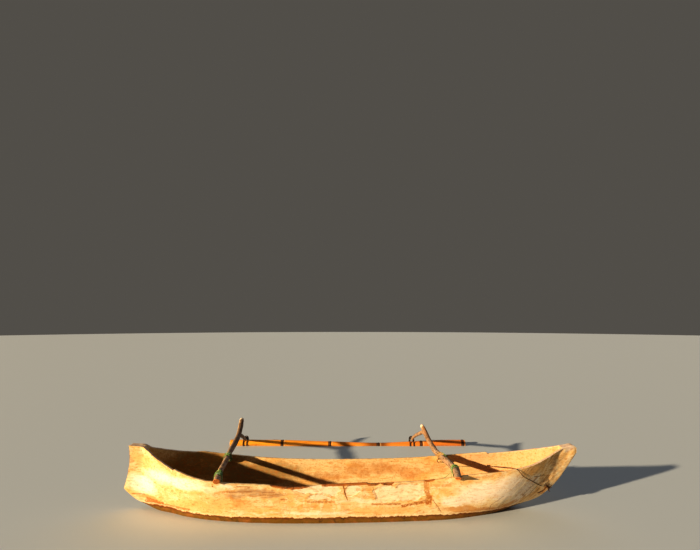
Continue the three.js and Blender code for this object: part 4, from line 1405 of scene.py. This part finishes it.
def twine_finish(name, green, brown, browned_to_x):
    """Faded twine, green over the given share of it, browned elsewhere and up to a place x."""
    twine = Finish(name)
    faded = twine.cloud(twine.whole, 30.0, 2.0, 0.5)
    tint = twine.cloud(twine.point(twine.y, twine.z, twine.x), 21.0, 2.0, 0.5)
    fuzz = twine.cloud(twine.whole, 900.0, 2.0, 0.6)
    colour = twine.blend(twine.rise(tint, 0.46, 0.60), TWINE_GREEN, TWINE_TEAL)
    colour = twine.blend(twine.rise(faded, 0.52, 0.66), colour, TWINE_BLEACHED)
    colour = twine.blend(twine.rise(faded, 0.78 - green, 0.88 - green), brown, colour)
    unbrowned = twine.rise(twine.x, browned_to_x - BROWNED_BLEND, browned_to_x + BROWNED_BLEND)
    colour = twine.blend(unbrowned, brown, colour)
    colour = twine.blend(twine.rise(fuzz, 0.50, 0.70) * 0.4, colour, brown)
    return twine.finished(colour, 0.82, fuzz, 0.0005)


green_twine = twine_finish("green_twine", 0.48, TWINE_BROWN, STERN_X)
brown_twine = twine_finish("browned_twine", 0.50, TWINE_TAN, 0.855)
for lashing in LASHINGS:
    routes = [(lashing_route(lashing), False)] + [(end, False) for end in lashing.ends]
    fibre = brown_twine if lashing.node == "lashing_fore_far" else green_twine
    turns = lay_cord(lashing.node.replace("lashing_", "twine_lashing_"), routes, TWINE, TWINE_LAY,
                     TWINE_STEP, fibre)
    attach(turns, "root")
    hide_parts(lashing.node)

# Float: one bamboo pole with its bands at the nodes, cut off short of a node at each end, so
# that the ends are open up to the first wall. It bends down a little amidships.
FLOAT_Y = 1.720
FLOAT_RADIUS = 0.040
FLOAT_AXIS = [
    (-1.563, 0.029), (-1.200, 0.028), (-0.800, 0.023), (-0.400, 0.011), (0.000, 0.000), (0.380, -0.011),
    (0.640, 0.001), (0.940, 0.014), (1.180, 0.026), (1.503, 0.026),
]
FLOAT_NODES_X = [-1.500, -0.880, -0.260, 0.370, 0.930, 1.470]
NODE_RISE = 0.0033
NODE_WIDE = 0.0050
NODE_ASIDE = 0.002
NODE_DIP = 0.0012
DIP_WIDE = 0.006
DIP_ASIDE = 0.013
WAIST = 0.0015
HALF_JOINT = 0.31
BAMBOO_WALL = 0.009
BAMBOO_LUMPS = 0.0006
RIM_BEVEL = 0.0025
BORE_BEVEL = 0.0012
BORE_INSET = 0.0015
INNER_WALL_ASIDE = 0.008
INNER_WALL_DISH = 0.004
FLOAT_STEP = 0.006
FLOAT_SIDES = 40
NODE_STEP = 0.0018
NODE_STEPS = 7


def culm_radius(x):
    """The pole's radius: waisted between its nodes, with a ridge and a groove at each."""
    away = min(abs(x - node) for node in FLOAT_NODES_X)
    ridge = NODE_RISE * math.exp(-((away - NODE_ASIDE) / NODE_WIDE) ** 2)
    groove = NODE_DIP * math.exp(-((away - DIP_ASIDE) / DIP_WIDE) ** 2)
    waist = WAIST * math.sin(math.pi * min(away / HALF_JOINT, 1.0) / 2.0)
    return FLOAT_RADIUS - waist + ridge - groove


def float_end(end_x, wall_x, out):
    """Open end as rows of [x, radius]: from the middle of its inner wall out to the rim."""
    bore = FLOAT_RADIUS - BAMBOO_WALL
    return [(wall_x, 0.0), (wall_x, bore * 0.5), (wall_x, bore * 0.96),
            (wall_x + out * INNER_WALL_DISH, bore), (end_x - out * BORE_INSET, bore),
            (end_x, bore + BORE_BEVEL), (end_x, FLOAT_RADIUS - RIM_BEVEL)]


def make_float():
    first, last = FLOAT_AXIS[0][0], FLOAT_AXIS[-1][0]
    places = {first + BORE_INSET, last - BORE_INSET}
    count = round((last - first) / FLOAT_STEP)
    places |= {first + (last - first) * i / count for i in range(1, count)}
    for node in FLOAT_NODES_X:
        places |= {node + k * NODE_STEP for k in range(-NODE_STEPS, NODE_STEPS + 1)}
    stern_end = float_end(first, FLOAT_NODES_X[0] - INNER_WALL_ASIDE, -1)
    bow_end = float_end(last, FLOAT_NODES_X[-1] + INNER_WALL_ASIDE, 1)
    outside = [(x, culm_radius(x)) for x in sorted(places) if first < x < last]
    profile = stern_end + outside + bow_end[::-1]
    mesh = bmesh.new()
    band_layer = mesh.verts.layers.float.new("from_node")
    # Marks the insides of the open ends, which the finish paints near black as shade.
    shaded_bore_layer = mesh.verts.layers.float.new("bore")
    rings = []
    for number, (x, radius) in enumerate(profile):
        z = curve_at(FLOAT_AXIS, x)
        away = min((x - node for node in FLOAT_NODES_X), key=abs)
        inner = not len(stern_end) - 1 <= number < len(profile) - len(bow_end) + 1
        if radius == 0.0:
            ring = [mesh.verts.new((x, FLOAT_Y, z))] * FLOAT_SIDES
        else:
            ring = []
            for j in range(FLOAT_SIDES):
                angle = math.tau * j / FLOAT_SIDES
                way = Vector((0.0, math.cos(angle), math.sin(angle)))
                lump = BAMBOO_LUMPS * noise.noise(Vector((x * 3.0, way.y * 1.5, way.z * 1.5)))
                reach = radius + (0.0 if inner else lump)
                ring.append(mesh.verts.new(Vector((x, FLOAT_Y, z)) + way * reach))
        for vert in set(ring):
            vert[band_layer], vert[shaded_bore_layer] = away, float(inner)
        rings.append(ring)
    join_rings(mesh, rings)
    bmesh.ops.recalc_face_normals(mesh, faces=mesh.faces)
    for face in mesh.faces:
        face.smooth = True
    return placed("bamboo_float", mesh)


BAMBOO_ORANGE = (0.880, 0.330, 0.062)
BAMBOO_AMBER = (0.940, 0.410, 0.040)
BAMBOO_RED = (0.520, 0.130, 0.022)
BAMBOO_BLACK = (0.035, 0.014, 0.008)
BAMBOO_SODDEN = (0.120, 0.042, 0.012)
BAMBOO_DUST = (0.800, 0.560, 0.300)


def bamboo_finish():
    """Orange bamboo, redder to the bow, black at its nodes, dark where it dips in the water, and near black
    inside its open ends as painted shade.
    """
    bamboo = Finish("orange_bamboo")
    from_node, bore = bamboo.grown("from_node"), bamboo.grown("bore")
    streak = bamboo.stretched((3.0, 60.0, 60.0), 3.0, 0.6)
    fibre = bamboo.stretched((8.0, 320.0, 320.0), 2.0, 0.5)
    stain = bamboo.cloud(bamboo.whole, 9.0, 4.0, 0.6)
    sodden = 1.0 - bamboo.rise(abs(bamboo.x - 0.350) + (stain - 0.5) * 0.1, 0.060, 0.220)
    edge = (stain - 0.5) * 0.02
    band = 1.0 - bamboo.rise(abs(from_node + 0.004) + edge, 0.016, 0.024)
    ring = 1.0 - bamboo.rise(abs(from_node - 0.028) + edge * 0.4, 0.003, 0.008)
    colour = bamboo.coated(bamboo.blend(bamboo.rise(bamboo.x, -1.4, 0.6), BAMBOO_AMBER, BAMBOO_ORANGE), [
        (bamboo.rise(bamboo.x, 0.3, 1.3) * 0.45, BAMBOO_RED),
        (bamboo.rise(streak, 0.54, 0.70) * 0.55, BAMBOO_RED),
        (bamboo.rise(stain, 0.56, 0.70) * 0.60, BAMBOO_RED),
        (bamboo.rise(fibre, 0.56, 0.74) * 0.30, BAMBOO_BLACK),
        (sodden * 0.78, BAMBOO_SODDEN),
        (ring * 0.55, BAMBOO_DUST),
        (band * 0.92, BAMBOO_BLACK),
        # Painted shade: the insides of the open ends are laid near black.
        (bore * 0.80, BAMBOO_BLACK),
    ])
    return bamboo.finished(colour, 0.34 + band * 0.3, streak * 0.5 + fibre * 0.5, 0.0006)


bamboo_float = make_float()
bamboo_float.data.materials.append(bamboo_finish())
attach(bamboo_float, "root")
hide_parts("float")

# Float lashings: dark wet rope that ties the end of each side branch down on the bamboo. Its turns
# lie side by side over the branch and under the pole, and they are drawn tight.
WET_ROPE = 0.0036
WET_LAY = 0.020
WET_STEP = 0.005
FLOAT_TURNS = 4
TURN_PLACES = 3
TURN_PITCH = 2.05
TURN_SQUEEZE = 0.55
TURN_RISE = 0.4
FLOAT_SPREAD = 0.028
FLOAT_EASE = 0.0015
UNDER_DEGREES = (-62, -90, -120, -150, 180, 150, 120, 90, 62)
OVER_DEGREES = (180, 135, 90, 45, 0)


def branch_over_float(route):
    before, end = route.branch[-2:]
    t = (FLOAT_Y - before.y) / (end.y - before.y)
    slope = (end.z - before.z) / (end.y - before.y)
    return Joint(*(a + (b - a) * t for a, b in zip(before, end))), slope


def float_lashing_route(route):
    """Turns side by side: up over the branch on one side of the pole, and under it between."""
    over, slope = branch_over_float(route)
    axis_z = curve_at(FLOAT_AXIS, over.x)
    points = []

    def under(side, shift):
        aside = over.radius + WET_ROPE + FLOAT_EASE + shift
        for degrees in UNDER_DEGREES:
            angle = math.radians(degrees)
            reach = FLOAT_RADIUS + WET_ROPE + TWINE_GAP
            yield (over.x + side * aside, FLOAT_Y + reach * math.sin(angle),
                   axis_z + reach * math.cos(angle))

    def across(side, shift):
        reach = over.radius + WET_ROPE + FLOAT_EASE
        for degrees in OVER_DEGREES:
            angle = math.radians(degrees)
            y = side * (FLOAT_SPREAD - shift)
            yield (over.x + (reach + shift) * math.cos(angle), FLOAT_Y + y,
                   over.z + slope * y + (reach + TURN_RISE * shift) * math.sin(angle))

    for number in range(FLOAT_TURNS):
        shift = TURN_PITCH * WET_ROPE * (number % TURN_PLACES) * TURN_SQUEEZE
        points += [*across(-1, shift), *under(1, shift)]
        points += [*list(across(1, shift))[::-1], *list(under(-1, shift))[::-1]]
    return points


ROPE_BLACK = (0.020, 0.016, 0.018)
ROPE_GREY = (0.190, 0.150, 0.120)
ROPE_BROWN = (0.055, 0.030, 0.020)


def rope_finish():
    """Wet rope, almost black, greyer where it has begun to dry."""
    rope = Finish("dark_wet_rope")
    dried = rope.cloud(rope.whole, 60.0, 3.0, 0.6)
    fuzz = rope.cloud(rope.whole, 700.0, 2.0, 0.6)
    colour = rope.blend(rope.rise(dried, 0.54, 0.68), ROPE_BLACK, ROPE_GREY)
    colour = rope.blend(rope.rise(fuzz, 0.5, 0.7) * 0.5, colour, ROPE_BROWN)
    return rope.finished(colour, 0.48, fuzz, 0.0006)


wet_fibre = rope_finish()
for route in BOOMS:
    node = route.name.replace("boom_", "lashing_") + "_float"
    rope = lay_cord("rope_" + node, [(float_lashing_route(route), True)], WET_ROPE, WET_LAY, WET_STEP,
                    wet_fibre)
    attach(rope, "root")
    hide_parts(node)

# Painter: thin brown cord. It is knotted through the far wall, crosses the bow over the near
# gunwale, goes down the near side and is made fast with turns through a hole in the stem.
PAINTER = 0.0032
PAINTER_LAY = 0.018
PAINTER_STEP = 0.006

# Its lead: the hole in the far wall as [x, z], a place [x, from the wall, z] on the way across,
# where it crosses the near gunwale, and places [x, z, off the wood] down the near side.
PAINTER_HOLE = (1.280, 0.277)
PAINTER_LEAD = (1.312, 0.198, 0.322)
PAINTER_CROSSING_X = 1.360
PAINTER_OUTSIDE = [(1.437, 0.331, 0.007), (1.517, 0.280, 0.007), (1.595, 0.231, 0.007),
                   (1.650, 0.203, 0.009), (1.684, 0.199, 0.012)]
RIM_CLEARANCE = 0.001
KNOT_SEAT = 0.015
KNOT_SIZE = 0.0068
KNOT_DEPTH = 0.75
KNOT_POINTS = 24

# Its turns: round the stem from the hole [x, z] in it to the leaning front edge, side by side.
STEM_HOLE = (1.696, 0.204)
STEM_LEAN = 0.56
STEM_TURNS = 7
TURN_APART = 0.0060
HOLE_SQUEEZE = 0.6
HOLE_CLEARANCE = 0.002
TURN_DOWNS = (0.026, 0.052)
TURN_CLEARANCE = 0.003
FRONT_DOWN = 0.080
FRONT_SQUEEZE = 0.4

# The tie on the turns, with its ends as [x, z] from its middle.
TIE_DOWN = 0.030
TIE_STAND = 0.012
TIE_SIZE = 1.9 * KNOT_SIZE
TIE_ENDS = [(-0.028, 0.030), (0.012, 0.036), (0.034, 0.022), (0.030, 0.006)]


def stem_place(down, y):
    return Vector((STEM_HOLE[0] + down * math.sin(STEM_LEAN), y, STEM_HOLE[1] - down * math.cos(STEM_LEAN)))


def knot_route(centre, size):
    """Overhand knot: a trefoil that closes on itself."""
    places = []
    for i in range(KNOT_POINTS):
        t = math.tau * i / KNOT_POINTS
        places.append((centre[0] + size * (math.sin(t) + 2 * math.sin(2 * t)) / 3,
                       centre[1] - size * math.sin(3 * t) * KNOT_DEPTH,
                       centre[2] + size * (math.cos(t) - 2 * math.cos(2 * t)) / 3))
    return places


def lead_route(wall_y, inner_y, outer_y):
    """From the knot outside the far wall, through it and over the near gunwale to the stem."""
    hole_x, hole_z = PAINTER_HOLE
    section = outer_section(PAINTER_CROSSING_X)
    rest = section.sheer + PAINTER + RIM_CLEARANCE - wear_at(NEAR_WEAR, PAINTER_CROSSING_X)
    lead = [
        (hole_x, outer_y, hole_z), (hole_x, wall_y - WALL / 2, hole_z), (hole_x, inner_y, hole_z),
        (PAINTER_LEAD[0], wall_y - PAINTER_LEAD[1], PAINTER_LEAD[2]),
        (PAINTER_CROSSING_X - WALL / 2, -section.beam + WALL, rest + PAINTER / 2),
        (PAINTER_CROSSING_X, -section.beam + WALL / 2, rest + PAINTER / 2),
        (PAINTER_CROSSING_X + WALL / 2, -section.beam - PAINTER, rest),
    ]
    return lead + [(x, -outer_half_breadth(x, z) - stand, z) for x, z, stand in PAINTER_OUTSIDE]


def stem_turn(shift):
    """One turn through the hole in the stem, down both sides and round its front edge."""
    start = stem_place(shift, 0.0)
    half = outer_half_breadth(start.x, start.z) + PAINTER + HOLE_CLEARANCE
    turn = [stem_place(shift * HOLE_SQUEEZE, -half), stem_place(shift * HOLE_SQUEEZE, half)]

    def down_side(side, downs):
        for down in downs:
            place = stem_place(down + shift, 0.0)
            stand = outer_half_breadth(place.x, place.z) + PAINTER + TURN_CLEARANCE
            turn.append(stem_place(down + shift, side * stand))

    down_side(1, TURN_DOWNS)
    turn.append(stem_place(FRONT_DOWN + shift * FRONT_SQUEEZE, 0.0))
    down_side(-1, reversed(TURN_DOWNS))
    return turn


def painter_routes():
    wall_y = outer_half_breadth(*PAINTER_HOLE)
    inner_y, outer_y = wall_y - WALL - KNOT_SEAT, wall_y + KNOT_SEAT
    routes = [(lead_route(wall_y, inner_y, outer_y), False)]
    hole_x, hole_z = PAINTER_HOLE
    routes += [(knot_route((hole_x, y, hole_z), KNOT_SIZE), True) for y in (inner_y, outer_y)]
    for number in range(STEM_TURNS):
        routes.append((stem_turn((number - (STEM_TURNS - 1) / 2) * TURN_APART), True))
    tie = stem_place(TIE_DOWN, 0.0)
    tie_y = -outer_half_breadth(tie.x, tie.z) - TIE_STAND
    routes.append((knot_route((tie.x, tie_y, tie.z), TIE_SIZE), True))
    for end_x, end_z in TIE_ENDS:
        routes.append(([(tie.x, tie_y, tie.z), (tie.x + end_x * 0.5, tie_y - 0.004, tie.z + end_z * 0.5),
                        (tie.x + end_x, tie_y - 0.003, tie.z + end_z)], False))
    return routes


CORD_DARK = (0.060, 0.030, 0.014)
CORD_TAN = (0.230, 0.115, 0.052)
CORD_BROWN = (0.050, 0.025, 0.015)


def cord_finish():
    """Thin brown cord, paler in patches."""
    cord = Finish("brown_cord")
    faded = cord.cloud(cord.whole, 24.0, 3.0, 0.6)
    fuzz = cord.cloud(cord.whole, 800.0, 2.0, 0.6)
    colour = cord.blend(cord.rise(faded, 0.44, 0.62), CORD_DARK, CORD_TAN)
    colour = cord.blend(cord.rise(fuzz, 0.5, 0.7) * 0.4, colour, CORD_BROWN)
    return cord.finished(colour, 0.86, fuzz, 0.0005)


painter = lay_cord("painter_cord", painter_routes(), PAINTER, PAINTER_LAY, PAINTER_STEP, cord_finish())
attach(painter, "root")
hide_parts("painter")
